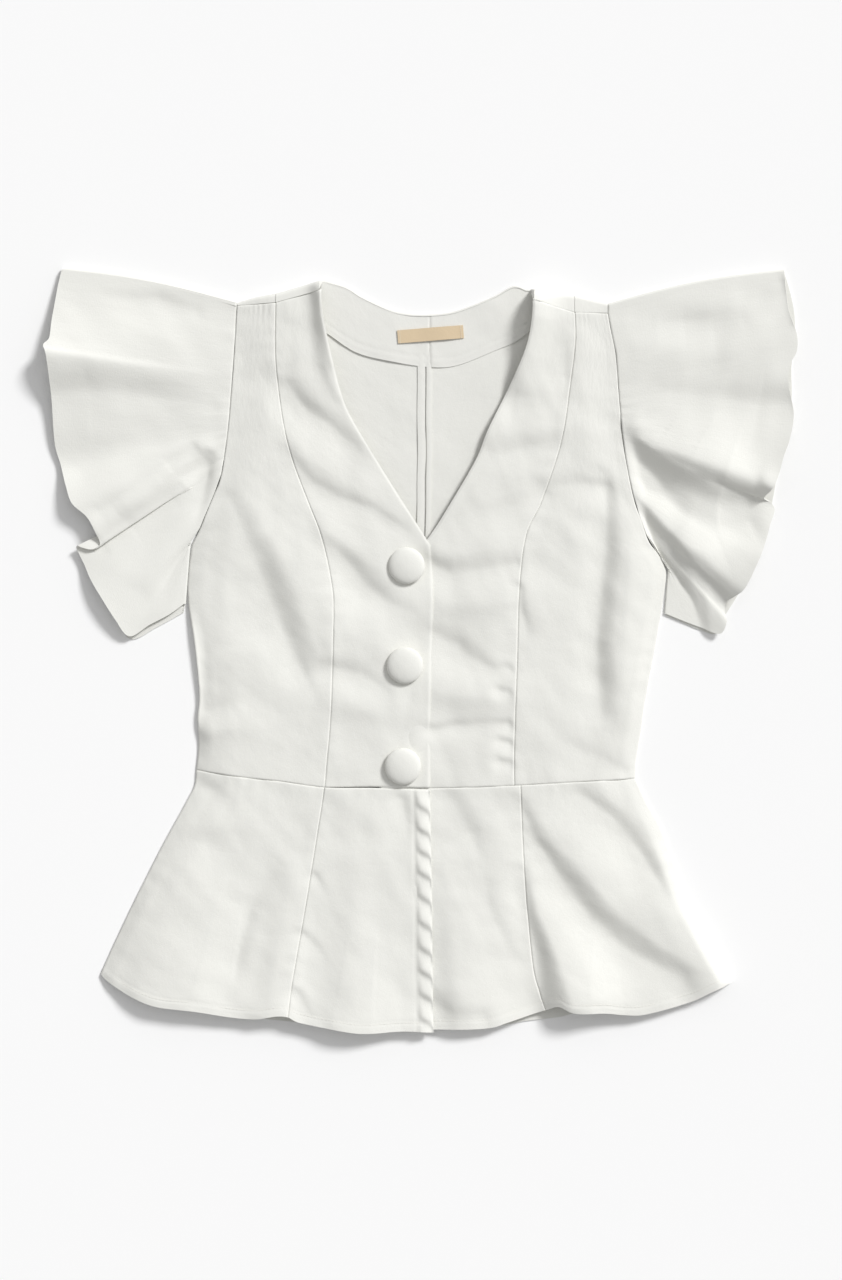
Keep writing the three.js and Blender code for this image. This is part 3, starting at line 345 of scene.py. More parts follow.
# The same on the sleeves' upper layer
SLEEVE_FOLDS = metres((
    ((-323.4, 221.8, 12.3, -2.4), (-291.7, 227, 13.2, -3.4), (-258.3, 223.5, 13.2, -3.6),
     (-221.3, 218.2, 11.4, -2.8), (-184.4, 214.7, 9.7, -1.4)),
    ((-319.9, 262.2, 17.6, 1), (-282.9, 268.4, 17.6, 0.8), (-230.1, 262.2, 15.8, 0.4)),
    ((-279.4, 121.4, 4.4, -1.4), (-253, 140.8, 4.4, -2), (-221.3, 163.7, 3.5, -1.6),
     (-200.2, 179.5, 2.6, -0.5)),
    ((-280.3, 96.8, 5.3, -2.4), (-260, 113.5, 7, -4.8), (-222.2, 139.9, 7, -5), (-194.9, 161.9, 6.2, -4),
     (-185.2, 169.8, 5.3, -2.8)),
    ((-282, 103.8, 5.3, 1.6), (-255.6, 122.3, 7, 4), (-214.3, 150.5, 7, 4.4), (-192.3, 171.6, 5.3, 3)),
    ((-192.3, 169, 7, -2.4), (-189.6, 151.4, 7.9, -3.4), (-191.4, 132, 7, -2.2)),
    ((-298.8, 158.4, 8.8, -1.6), (-279.4, 174.2, 7.9, -0.6)),
    ((-274.1, 308, 7.9, -0.8), (-230.1, 306.2, 7, -1.6), (-198.4, 297.4, 5.3, -1)),
    ((-265.3, 57.2, 10.6, -0.6), (-247.7, 48.4, 8.8, -1)),
    ((185.2, 192.7, 6.2, 2.6), (202.8, 176.9, 8.8, 6.4), (231, 159.3, 12.3, 11.2),
     (263.6, 145.2, 13.2, 11.2), (290, 137.3, 8.8, 4.8)),
    ((186.1, 169, 7, -3.4), (206.4, 141.7, 10.6, -6.4), (231, 114.4, 15, -9), (259.2, 98.6, 16.7, -9),
     (286.4, 109.1, 10.6, -4.5)),
    ((191.4, 132.9, 5.3, 2.4), (202.8, 123.2, 7.9, 5.6), (224, 101.2, 12.3, 9.6), (245.1, 73, 14.1, 10.4),
     (263.6, 52.8, 11.4, 5.6)),
    ((190.5, 118.8, 6.2, -3), (197.6, 89.8, 8.8, -5), (211.6, 62.5, 12.3, -7), (228.4, 33.4, 13.2, -7),
     (241.6, 18.5, 8.8, -3.4)),
    ((206.4, 285.1, 8.8, -1), (231, 286, 10.6, -3.6), (255.6, 286, 10.6, -3.4), (278.5, 290.4, 7.9, -1)),
    ((215.2, 225.3, 8.8, -1), (259.2, 220, 13.2, -3.4), (296.1, 213, 17.6, -6.4), (320.8, 213, 14.1, -5.6)),
    ((322.5, 323.8, 4.4, 2.6), (327.8, 308, 5.3, 3.6), (329.6, 288.6, 4.4, 2.4)),
    ((301.4, 146.1, 5.3, 2.2), (310.2, 137.3, 4.4, 1.8)),
    ((192.3, 268.4, 15.8, 1.2), (280.3, 262.2, 15.8, 1.6)),
    ((216.9, 89.8, 10.6, 2.2), (245.1, 89.8, 12.3, 2.6)),
))

# Where the wearer's right side stands off the surface
SIDE_LIFTS = metres((
    ((-200.5, 40, 10, 1.5), (-203, 8, 11, 5), (-204.5, -30, 11, 7), (-202, -64, 10, 3.5)),
))

# Front pieces: name, side, line on the left, line on the right, finish on the left, right, top and bottom
BODICE_FRONTS = (
    ("front_right_side", "outside", "princess", ("seam", "seam", "seam", "seam")),
    ("front_right_center", "princess", "edge", ("seam", "fold", "seam", "seam")),
    ("front_left_center", "edge", "princess", ("fold", "seam", "seam", "seam")),
    ("front_left_side", "princess", "outside", ("seam", "seam", "seam", "seam")),
)
PEPLUM_FRONTS = (
    ("peplum_front_right_side", "peplum_side", "peplum_princess", ("seam", "seam", "seam", "hem")),
    ("peplum_front_right_center", "peplum_princess", "peplum_edge", ("seam", "twist", "seam", "hem")),
    ("peplum_front_left_center", "peplum_edge", "peplum_princess", ("fold", "seam", "seam", "hem")),
    ("peplum_front_left_side", "peplum_princess", "peplum_side", ("seam", "seam", "seam", "hem")),
)
WEAVES = {  # name, height of a thread, slubs to a metre
    "shell": ("Off-white crepe", 0.00012, 60),
    "facing": ("Facing crepe", 0.00010, 60),
    "ribbon": ("Beige ribbon", 0.00008, 90),
    "thread": ("Sewing thread", 0.00003, 400),
}
BUTTONS = (  # name, x, y
    ("button_top", -0.013, 0.074),
    ("button_middle", -0.0145, -0.0135),
    ("button_bottom", -0.0163, -0.102),
)
BUTTON_HEIGHT = 0.0072
BUTTON_DOME = (  # share of the radius, share of the height
    (0, -0.2), (0.5, -0.2), (0.86, -0.06), (0.95, 0.04), (0.99, 0.16), (1, 0.28), (0.985, 0.42), (0.94, 0.56),
    (0.86, 0.68), (0.74, 0.79), (0.6, 0.87), (0.42, 0.94), (0.22, 0.985), (0, 1),
)
HEM_STITCH = (0.0032, 0.0018, 0.0003)  # spacing, length, thickness
LABEL_STITCH = (0.0018, 0.0012, 0.0003)
ALLOWANCE_RUN = (0.262, -0.118)  # y at its top and at its end
ALLOWANCE_LIFT = 0.0009
ALLOWANCE_THICKNESS = 0.0005
ALLOWANCES = (  # the pressed-open centre back seam: side, from x, to x
    ("right", -0.0036, 0.0030),
    ("left", 0.0042, 0.0086),
)
SUNS = (  # name, setting of its strength, setting of its width, where it shines from
    ("Key", "key", "softness", (0.60, 0.58, 0.62)),
    ("Broad light", "broad", "broad_width", (0.45, 0.50, 1.0)),
)
SURFACE_REACH = 4.0
CAMERA = {"lens": 85, "sensor_width": 36, "clip_end": 20}
CAMERA_PLACE = (-0.0004, 0.0088)
LABEL = {"width": 0.058, "height": 0.0115, "tilt": 4.6, "x": 0.008, "y": 0.2775, "lift": 0.0011,
         "thickness": 0.0006}


# Lines and grids

def smooth_step(t):
    t = np.clip(t, 0, 1)
    return t * t * (3 - 2 * t)


def bell(distance, width):
    """1 at no distance, and running out softly over a width."""
    return np.exp(-(distance / width) ** 2)


def floored(height, low, ease):
    """A height kept softly above a low one."""
    spare = height - low
    return low + (spare + np.hypot(spare, ease)) / 2


def apart(points, others):
    return np.linalg.norm(points - others, axis=-1)


def smooth_rows(rows, count):
    """Rows of a table joined by a smooth line and read at count + 1 even steps from row to row."""
    p = np.array(rows, float)
    padded = np.vstack([p[:1], p, p[-1:]])
    t = np.linspace(0, len(p) - 1, count + 1)
    k = np.minimum(t.astype(int), len(p) - 2)
    u = (t - k)[:, None]
    a, b, c, d = (padded[k + i] for i in range(4))
    cubic = 3 * b - a - 3 * c + d
    return 0.5 * (2 * b + (c - a) * u + (2 * a - 5 * b + 4 * c - d) * u**2 + cubic * u**3)


def even(count):
    return np.linspace(0, 1, count + 1)


def shares(length, spacing):
    """Places along a length as shares of it, closer together near both ends."""
    ends = np.array((0, 0.0005, 0.0011, 0.0019, 0.0030, 0.0044))
    middle = np.linspace(0.0060, length - 0.0060, max(4, round((length - 0.012) / spacing)))
    return np.concatenate([ends, middle, (length - ends)[::-1]]) / length


def smooth_line(points, at):
    """A smooth line through points, read at shares of its length."""
    fine = smooth_rows(points, 40 * len(points))
    run = lengths(fine)
    return np.column_stack([np.interp(at * run[-1], run, column) for column in fine.T])


def straight(a, b, at):
    a, b = np.array(a, float), np.array(b, float)
    return a + (b - a) * at[:, None]


def height_at(fine, x):
    """y of a left-to-right line at x."""
    return np.interp(x, fine[:, 0], fine[:, 1])


def place_at(fine, y):
    """x of a top-to-bottom line at y."""
    return np.interp(-y, -fine[:, 1], fine[:, 0])


def stretch(points, x0, x1, at):
    x = x0 + (x1 - x0) * at
    return np.column_stack([x, height_at(smooth_line(points, even(240)), x)])


def level(points, x0, x1, at):
    x = x0 + (x1 - x0) * at
    return np.column_stack([x, height_at(np.array(points, float), x)])


def patch(left, right, top, bottom, down, across):
    """Plan points between four lines, read at shares down them and across them."""
    v = down[:, None, None]
    u = across[None, :, None]
    ruled = (1 - u) * left[:, None] + u * right[:, None] + (1 - v) * top[None] + v * bottom[None]
    corners = (1 - v) * ((1 - u) * top[0] + u * top[-1]) + v * ((1 - u) * bottom[0] + u * bottom[-1])
    return ruled - corners


def lengths(points):
    """Distance run along a line of points, from its first point to each."""
    return np.append(0, np.cumsum(apart(points[1:], points[:-1])))


# Shape of the front

def joined(side):
    parts = [smooth_line(side[key], even(60)) for key in ("armhole", "side", "peplum_side")]
    return np.vstack(parts)


OUTLINE_RIGHT = joined(RIGHT)
OUTLINE_LEFT = joined(LEFT)
LAP_EDGE = np.vstack([smooth_line(RIGHT["edge"], even(120)), smooth_line(RIGHT["peplum_edge"], even(60))])


def chain_rise(chain, x, y, spread):
    """Height that one fold gives at each place. Its slope to the upper right's light is wider by a factor."""
    nearest = np.full(x.shape, np.inf)
    wide, rise, facing = (np.ones(x.shape) for _ in range(3))
    for (ax, ay, wide_a, rise_a), (bx, by, wide_b, rise_b) in zip(chain, chain[1:]):
        dx, dy = bx - ax, by - ay
        t = np.clip(((x - ax) * dx + (y - ay) * dy) / (dx * dx + dy * dy), 0, 1)
        off_x, off_y = x - ax - t * dx, y - ay - t * dy
        off = np.hypot(off_x, off_y)
        closer = off < nearest
        nearest = np.where(closer, off, nearest)
        wide = np.where(closer, wide_a + (wide_b - wide_a) * t, wide)
        rise = np.where(closer, rise_a + (rise_b - rise_a) * t, rise)
        facing = np.where(closer, (off_x + off_y) / np.maximum(1.414 * off, 1e-6), facing)
    wide = wide * (1 + (spread - 1) * smooth_step(0.5 + 0.5 * facing * np.sign(rise)))
    return rise * bell(nearest, wide)


def folds_at(chains, x, y, spread):
    return sum(chain_rise(chain, x, y, spread) for chain in chains)


def front_top(x, y, fullness=1.0, fine=1.0):
    """Height of the front's upper face."""
    folds = fullness * folds_at(MAIN_FOLDS, x, y, MAIN_SPREAD)
    layered = smooth_step((LAYERED[1] - np.abs(x)) / (LAYERED[1] - LAYERED[0]))
    low = LOW_TOP + (LAP_TOP - LOW_TOP) * layered
    in_right = x - place_at(OUTLINE_RIGHT, y)
    in_left = place_at(OUTLINE_LEFT, y) - x
    inside = np.minimum(in_right, in_left)
    lifted = BODY_LIFT * smooth_step(inside / BODY_EASE)
    folds = REST_TOP + lifted + folds + fine * folds_at(FINE_FOLDS, x, y, FINE_SPREAD)
    top = floored(folds, low, LOW_EASE)
    underarm = np.where(in_right < in_left, RIGHT["side"][0][1], LEFT["side"][0][1])
    rolled = smooth_step((underarm + UNDERARM_ROLL - y) / UNDERARM_ROLL)
    roll = np.sin(np.clip(inside / SIDE_ROLL, 0, 1) * math.pi / 2)
    edge = EDGE_TOP + side_lift(x, y)
    return top + (edge - top) * rolled * (1 - roll)


def side_lift(x, y):
    """How far the rolled side of the body stands off the surface."""
    return folds_at(SIDE_LIFTS, x, y, 1.0)


def under_top(x, y, fullness=1.0, fine=1.0):
    """Height of the under front, which drops below the over front at the lap."""
    past = x - place_at(LAP_EDGE, y) - LAP_PAST
    return front_top(x, y, fullness, fine) - LAP_STEP * (1 - smooth_step(past / LAP_RISE))


def unevenness(u, v, seed, height):
    """Soft irregular waves over a piece of cloth, from its own flat places in metres."""
    rng = np.random.default_rng(seed)
    total = np.zeros_like(u)
    for _ in range(WAVES):
        wave = rng.uniform(*WAVE_LENGTHS)
        angle = rng.uniform(0, math.pi)
        phase = rng.uniform(0, 2 * math.pi)
        bend = WAVE_BEND * np.sin(2 * math.pi * (u + v) / rng.uniform(*BEND_LENGTHS) + phase)
        run = u * math.cos(angle) + v * math.sin(angle) + bend
        total += wave * np.sin(2 * math.pi * run / wave + phase)
    return height * total / WAVE_SUM


def finish_relief(kind, depth_in, along, seed, seams):
    """Height that an edge's finish adds at a distance in from the edge and a run along it."""
    rng = np.random.default_rng(seed)
    phase = rng.uniform(0, 6)
    wander = 0.5 * np.sin(along / 0.031 + phase) + 0.5 * np.sin(along / 0.0173 + 2 * phase)
    if kind == "seam":
        groove = -seams.groove * bell(depth_in, 0.0005)
        ridge = seams.ridge * bell(depth_in - 0.0045, 0.0034)
        fade = np.exp(-depth_in / 0.0085) * (1 - np.exp(-depth_in / 0.0015)) * (0.45 + 0.55 * wander)
        return groove + ridge + seams.pucker * np.sin(2 * math.pi * along / seams.spacing + 2 * wander) * fade
    if kind == "fold":
        edge = -seams.groove * bell(depth_in, FOLD_GROOVE)
        return edge + 0.6 * seams.ridge * bell(depth_in - 0.004, 0.003) * (1 + 0.5 * wander)
    if kind == "hem":
        step = HEM_STEP * (1 - smooth_step((depth_in - HEM_TURN) / 0.0016))
        return step - HEM_DIP * bell(depth_in - HEM_LINE, 0.001) * (1 + 0.4 * wander)
    if kind == "twist":
        strip = np.clip(depth_in / TWIST_WIDTH, 0, 1)
        bulge = np.sin(math.pi * strip) ** 0.8 * TWIST_BULGE
        run = (along + TWIST_LEAN * depth_in) / TWIST_PITCH + 0.12 * wander
        saw = run - np.floor(run)
        tuck = smooth_step(saw / TUCK_FALL) - smooth_step((saw - TUCK_FALL) / 0.28)
        inside = smooth_step(strip / 0.12) * (1 - smooth_step((strip - 0.72) / 0.28))
        return bulge + TUCK_HEIGHT * (tuck - 0.45) * inside - 0.0005 * bell(depth_in - TWIST_LINE, 0.001)
    return np.zeros_like(depth_in)


def edge_relief(grid, finishes, seed, seams):
    """The finishes of a grid's left, right, top and bottom edges together."""
    rows, columns = grid.shape[:2]
    down = np.broadcast_to(lengths(grid[:, columns // 2])[:, None], (rows, columns))
    across = np.broadcast_to(lengths(grid[rows // 2])[None, :], (rows, columns))
    from_edges = [apart(grid, edge) for edge in (grid[:, :1], grid[:, -1:], grid[:1], grid[-1:])]
    runs = (down, down, across, across)
    return sum(
        finish_relief(kind, depth_in, run, seed + k, seams)
        for k, (kind, depth_in, run) in enumerate(zip(finishes, from_edges, runs))
    )


def drawn_in(grid):
    """A grid with its four edges drawn in by half a seam gap."""
    moved = grid.copy()
    for edge, inner in (((slice(None), 0), (slice(None), 1)), ((slice(None), -1), (slice(None), -2)),
                        ((0, slice(None)), (1, slice(None))), ((-1, slice(None)), (-2, slice(None)))):
        pull = grid[inner] - grid[edge]
        moved[edge] += SEAM_DRAW * pull / np.maximum(np.linalg.norm(pull, axis=-1, keepdims=True), 1e-9)
    return moved


# Making pieces

def material(name, build):
    """A named material, built once."""
    found = bpy.data.materials.get(name)
    if found:
        return found
    made = bpy.data.materials.new(name)
    made.use_nodes = True
    build(made.node_tree, made.node_tree.nodes["Principled BSDF"])
    return made


def set_inputs(node, values):
    for key, value in values.items():
        node.inputs[key].default_value = value


def add_node(tree, kind, values=None, fed=None, **settings):
    """Adds a node with its own settings, its inputs set to values or fed by other nodes' outputs."""
    node = tree.nodes.new(kind)
    for key, value in settings.items():
        setattr(node, key, value)
    set_inputs(node, values or {})
    for key, output in (fed or {}).items():
        tree.links.new(output, node.inputs[key])
    return node


def woven(shade, thread_height, slub):
    """Builds a matt plain weave on the cloth's own flat places."""
    def build(tree, surface):
        place = add_node(tree, "ShaderNodeUVMap", uv_map="Flat").outputs["UV"]

        def noise(scale, detail, vector=place):
            values = {"Scale": scale, "Detail": detail}
            return add_node(tree, "ShaderNodeTexNoise", values, {"Vector": vector}).outputs["Fac"]

        def threads(*scale):
            drawn = add_node(tree, "ShaderNodeMapping", {"Scale": scale}, {"Vector": place})
            return noise(1.0, 2.0, drawn.outputs["Vector"])

        def relief(distance, **fed):
            values = {"Strength": 1.0, "Distance": distance}
            return add_node(tree, "ShaderNodeBump", values, fed).outputs["Normal"]

        across_and_along = {0: threads(2600, 420, 1), 1: threads(420, 2600, 1)}
        weave = add_node(tree, "ShaderNodeMath", fed=across_and_along, operation="ADD").outputs[0]
        crumple = relief(2.6 * thread_height, Height=noise(105, 3.0))
        shades = add_node(tree, "ShaderNodeMix", {6: (*[c * 0.98 for c in shade], 1), 7: (*shade, 1)},
                          {0: noise(slub, 4.0)}, data_type="RGBA")
        set_inputs(surface, {
            "Roughness": 0.88, "Specular IOR Level": 0.25, "Sheen Weight": 0.18, "Sheen Roughness": 0.5})
        tree.links.new(relief(thread_height, Height=weave, Normal=crumple), surface.inputs["Normal"])
        tree.links.new(shades.outputs[2], surface.inputs["Base Color"])
    return build


def woven_material(kind):
    """The material of one kind of cloth, in the colour that is set for it."""
    name, thread_height, slub = WEAVES[kind]
    shade = getattr(bpy.context.scene.blouse_colours, kind)
    return material(name, woven(shade, thread_height, slub))


def add_object(name, data):
    """Puts data in the scene as an object."""
    made = bpy.data.objects.new(name, data)
    bpy.context.collection.objects.link(made)
    return made


def flat_mesh(name, points, faces, flat):
    """A smooth mesh whose corners carry their places on the flat cloth as a UV map."""
    mesh = bpy.data.meshes.new(name)
    mesh.from_pydata(points.tolist(), [], faces)
    mesh.polygons.foreach_set("use_smooth", np.ones(len(faces), bool))
    mesh.uv_layers.new(name="Flat").data.foreach_set("uv", flat.reshape(-1).astype(np.float32))
    mesh.update()
    return mesh


def evaluated(piece):
    """A new mesh of an object as its modifiers leave it."""
    graph = bpy.context.evaluated_depsgraph_get()
    return bpy.data.meshes.new_from_object(piece.evaluated_get(graph))


def grid_mesh(name, grid, closed=False):
    """A mesh over a grid of 3-D points. A closed one ends where it starts."""
    rows, columns = grid.shape[:2]
    index = np.arange(rows * columns).reshape(rows, columns)
    if closed:
        index = np.vstack([index, index[:1]])
    faces = np.stack(
        [index[:-1, :-1], index[1:, :-1], index[1:, 1:], index[:-1, 1:]], axis=-1).reshape(-1, 4)
    ring = np.concatenate([grid, grid[:1]]) if closed else grid
    down = lengths(ring[:, ring.shape[1] // 2])
    across = lengths(ring[ring.shape[0] // 2])
    k = np.arange(len(faces))
    i, j = k // (columns - 1), k % (columns - 1)
    corners = np.stack([
        np.column_stack([across[j + dj], -down[i + di]]) for di, dj in ((0, 0), (1, 0), (1, 1), (0, 1))
    ], axis=1)
    return flat_mesh(name, grid.reshape(-1, 3), faces.tolist(), corners)


def thicken(piece, thickness):
    """Gives a piece of cloth its thickness, inwards, with its cut edges crisp."""
    shell = piece.modifiers.new("Thickness", "SOLIDIFY")
    shell.thickness = thickness
    shell.offset = -1.0
    made = evaluated(piece)
    piece.modifiers.remove(shell)
    thin, name = piece.data, piece.data.name
    piece.data = made
    bpy.data.meshes.remove(thin)
    made.name = name
    made.set_sharp_from_angle(angle=math.radians(50))


def piece_from(mesh, node, finish, thickness=0.0, name=None):
    """Puts a mesh in the scene as the piece that stands for a node, or as a detail with its own name."""
    mesh.name = f"{node or name} shape"
    piece = add_object(f"{node}_cloth" if node else name, mesh)
    mesh.materials.append(finish)
    if thickness:
        thicken(piece, thickness)
    if node:
        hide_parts(node)
    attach(piece, "root")


def shell_piece(name, grid, cloth, closed=False):
    """A piece of the outer cloth over a grid."""
    piece_from(grid_mesh(name, grid, closed), name, woven_material("shell"), cloth.thickness)


def cells(length, spacing):
    return max(4, round(length / spacing))


def side_line(side, at):
    """A front's outer edge: armhole, then side seam, each as half of the shares."""
    upper = smooth_line(side["armhole"], np.clip(2 * at, 0, 1))
    lower = smooth_line(side["side"], np.clip(2 * at - 1, 0, 1))
    return np.where((at < 0.5)[:, None], upper, lower)


def front_piece(row, cloth, seams, seed, peplum):
    """One panel of the front, laid over the folds."""
    name, left_key, right_key, finishes = row
    side = RIGHT if "_right_" in name else LEFT
    down = shares(PEPLUM_LENGTH if peplum else BODICE_LENGTH, cloth.spacing)
    lines = [side_line(side, down) if key == "outside" else smooth_line(side[key], down)
             for key in (left_key, right_key)]
    columns = shares(np.abs(lines[1][:, 0] - lines[0][:, 0]).max(), cloth.spacing)
    x0, x1 = lines[0][-1][0], lines[1][-1][0]
    if peplum:
        top = stretch(side["waist"], lines[0][0][0], lines[1][0][0], columns)
        bottom = stretch(side["hem"], x0, x1, columns)
    else:
        top = straight(lines[0][0], lines[1][0], columns)
        bottom = stretch(side["waist"], x0, x1, columns)
    plan = patch(lines[0], lines[1], top, bottom, down, columns)
    under = name in ("front_left_center", "peplum_front_left_center")
    height = (under_top if under else front_top)(plan[..., 0], plan[..., 1], cloth.fullness, cloth.fine)
    calm = smooth_step(np.minimum(apart(plan, plan[:, :1]), apart(plan, plan[:, -1:])) / CALM_EDGE)
    relief = edge_relief(plan, finishes, seed, seams)
    relief += unevenness(plan[..., 0], plan[..., 1], seed + 50, cloth.unevenness) * (0.35 + 0.65 * calm)
    shell_piece(name, np.dstack([plan, height + relief]), cloth)


def turn_over(edge, seam_y, x, fullness):
    """Where a back piece's top edge folds, its roll's height and where the turned part ends.

    It ends at the seam to a front where there is one, or else free inside the neck.
    """
    top = height_at(edge, x)
    high = NECK_ROLL if seam_y is None else front_top(x, seam_y, fullness)
    end = top - high / 2 - NECK_LIP if seam_y is None else seam_y + 0.00015
    return np.broadcast_to(top - high / 2, x.shape), np.broadcast_to(high, x.shape), end


def back_piece(name, left, right, x, fold, high, end, cloth, seed):
    """One back panel: flat on the surface, turned over a roll at its top edge."""
    top = np.column_stack([x, fold])
    across = (x - x[0]) / (x[-1] - x[0])
    bottom = level(BACK_WAIST, left[-1][0], right[-1][0], across)
    u = across[None, :, None]
    v = even(len(left) - 1)[:, None, None]
    plan = (1 - u) * left[:, None] + u * right[:, None]
    plan = plan + (1 - v) * (top - plan[0])[None] + v * (bottom - plan[-1])[None]
    plan[:, 0, 0] += SEAM_DRAW
    plan[:, -1, 0] -= SEAM_DRAW
    plan[-1, :, 1] += SEAM_DRAW
    waves = unevenness(plan[..., 0], plan[..., 1], seed, cloth.unevenness * 0.5)
    calm = smooth_step((plan[:1, :, 1] - plan[..., 1]) / 0.02)
    lift = side_lift(plan[..., 0], plan[..., 1])
    start = BACK_TOP - cloth.thickness
    flat = np.dstack([plan, start + np.maximum(waves, -0.0003) * calm + lift])[::-1]
    turns = []
    for angle in HALF_TURN[1:]:
        r = (high - start) / 2
        turns.append(np.column_stack([
            plan[0, :, 0], fold + r * math.sin(angle), start + r - r * math.cos(angle)]))
    turns.append(np.column_stack([plan[0, :, 0], end, high]))
    shell_piece(name, np.concatenate([flat, np.array(turns)]), cloth)


def peplum_back(name, left, right, down, cloth, seed):
    """One half of the back peplum, flat on the surface."""
    across = shares(abs(right[-1][0] - left[-1][0]), 2 * cloth.spacing)
    top = level(BACK_WAIST, left[0][0], right[0][0], across)
    bottom = stretch(BACK_HEM, left[-1][0], right[-1][0], across)
    plan = drawn_in(patch(left, right, top, bottom, down, across))
    waves = unevenness(plan[..., 0], plan[..., 1], seed, cloth.unevenness * 0.4)
    shell_piece(name, np.dstack([plan, BACK_TOP + np.maximum(waves, -0.0001)]), cloth)


def sleeve_grid(side, rows, back_rows, away, cloth, seams, seed):
    """The closed loop of a sleeve: front, underarm roll, back, shoulder roll, from the armhole to the hem."""
    armhole = smooth_line(side["armhole"], even(ARM_ROWS))
    shoulder = side["shoulder_top"][0 if side is RIGHT else -1]
    armhole = np.vstack([[armhole[0][0], shoulder[1]], armhole])
    last = len(armhole) - 1
    along = np.gradient(armhole, axis=0)
    along[0] = armhole[1] - armhole[0]
    along /= np.linalg.norm(along, axis=1, keepdims=True)
    armhole = armhole + SEAM_DRAW * -away * np.column_stack([along[:, 1], -along[:, 0]])
    armhole[last, 0] += away * UNDERARM_CLEAR
    v = shares(SLEEVE_LENGTH, cloth.spacing)
    columns = len(v) - 1

    def arm_at(station):
        return np.column_stack([np.interp(station, np.arange(last + 1), armhole[:, c]) for c in (0, 1)])

    def spaced(table):
        stations = [row[0] for row in table]
        fine = smooth_rows(table, 60 * len(table))
        fine[:, 0] = np.interp(np.linspace(0, len(table) - 1, len(fine)), np.arange(len(table)), stations)
        run = lengths(fine[:, 1:])
        count = cells(run[-1], cloth.spacing)
        at = np.linspace(0, run[-1], count + 1)
        return np.column_stack([np.interp(at, run, fine[:, c]) for c in range(fine.shape[1])])

    def reached(table):
        """Where the rows start on the armhole, and their places from there to the hem."""
        start = arm_at(table[:, 0])
        return start, start[:, None] + (table[:, None, 1:3] - start[:, None]) * v[None, :, None]

    def front(table):
        start, plan = reached(table)
        arm_top = front_top(start[:, 0], start[:, 1], cloth.fullness, cloth.fine)
        over = table[:, 3] - REST_TOP
        fuller = REST_TOP + over * np.where(over > 0, cloth.sleeve_fullness, 1)
        bow = SLEEVE_BOW * np.clip(1 - table[:, 0] / BOWED_STATIONS, 0, 1)
        plan[..., 1] += bow[:, None] * np.sin(math.pi * v)[None]
        z = arm_top[:, None] + (fuller - arm_top)[:, None] * v[None]
        shaped = folds_at(SLEEVE_FOLDS, plan[..., 0], plan[..., 1], SLEEVE_SPREAD)
        z = z + shaped * smooth_step(v / 0.12)[None]
        return np.dstack([plan, floored(z, SLEEVE_LOW, SLEEVE_EASE)])

    def back(table):
        plan = reached(table)[1]
        return np.dstack([plan, np.full(plan.shape[:2], SLEEVE_BACK)])

    def roll(row, out_x, out_y, drawn_back):
        made = []
        for angle in HALF_TURN:
            r = (row[:, 2] - SLEEVE_BACK) / 2
            out = r * (math.sin(angle) - drawn_back)
            made.append(np.column_stack([
                row[:, 0] + out_x * out, row[:, 1] + out_y * out, SLEEVE_BACK + r + r * math.cos(angle)]))
        return np.array(made)

    upper = front(spaced(rows))
    lower = back(spaced(back_rows))
    run_down = np.broadcast_to(lengths(upper[:, columns // 2])[:, None], upper.shape[:2])
    run_out = apart(upper, upper[:, :1])
    normal = np.cross(np.gradient(upper, axis=0), np.gradient(upper, axis=1))
    if away < 0:
        normal = -normal
    normal /= np.maximum(np.linalg.norm(normal, axis=2, keepdims=True), 1e-9)
    calm = smooth_step(run_down / 0.02) * smooth_step((run_down.max() - run_down) / 0.03)
    relief = finish_relief("seam", run_out, run_down, seed, seams)
    relief += unevenness(run_out, run_down, seed + 9, cloth.unevenness) * calm
    upper = upper + normal * relief[..., None]
    loop = np.concatenate([
        upper[1:-1], roll(upper[-1], -away, 0, 0), lower[1:-1][::-1], roll(upper[0], 0, 1, 1)[::-1],
    ])
    return loop if away > 0 else loop[:, ::-1]


def revolved(name, profile, around):
    """A mesh turned from (radius, height) points about its own axis."""
    profile = np.array(profile, float)
    angles = np.linspace(0, 2 * math.pi, around, endpoint=False)
    ring = np.stack([np.stack([r * np.cos(angles), r * np.sin(angles), np.full(around, z)], -1)
                     for r, z in profile[1:-1]])
    points = np.vstack([[[0, 0, profile[0][1]]], ring.reshape(-1, 3), [[0, 0, profile[-1][1]]]])
    count = len(profile) - 2
    faces = []
    for k in range(around):
        n = (k + 1) % around
        faces.append((0, 1 + n, 1 + k))
        for r in range(count - 1):
            a, b = 1 + r * around, 1 + (r + 1) * around
            faces.append((a + k, a + n, b + n, b + k))
        a = 1 + (count - 1) * around
        faces.append((len(points) - 1, a + k, a + n))
    return flat_mesh(name, points, faces, points[np.concatenate(faces)][:, :2])


# The neck's own pieces

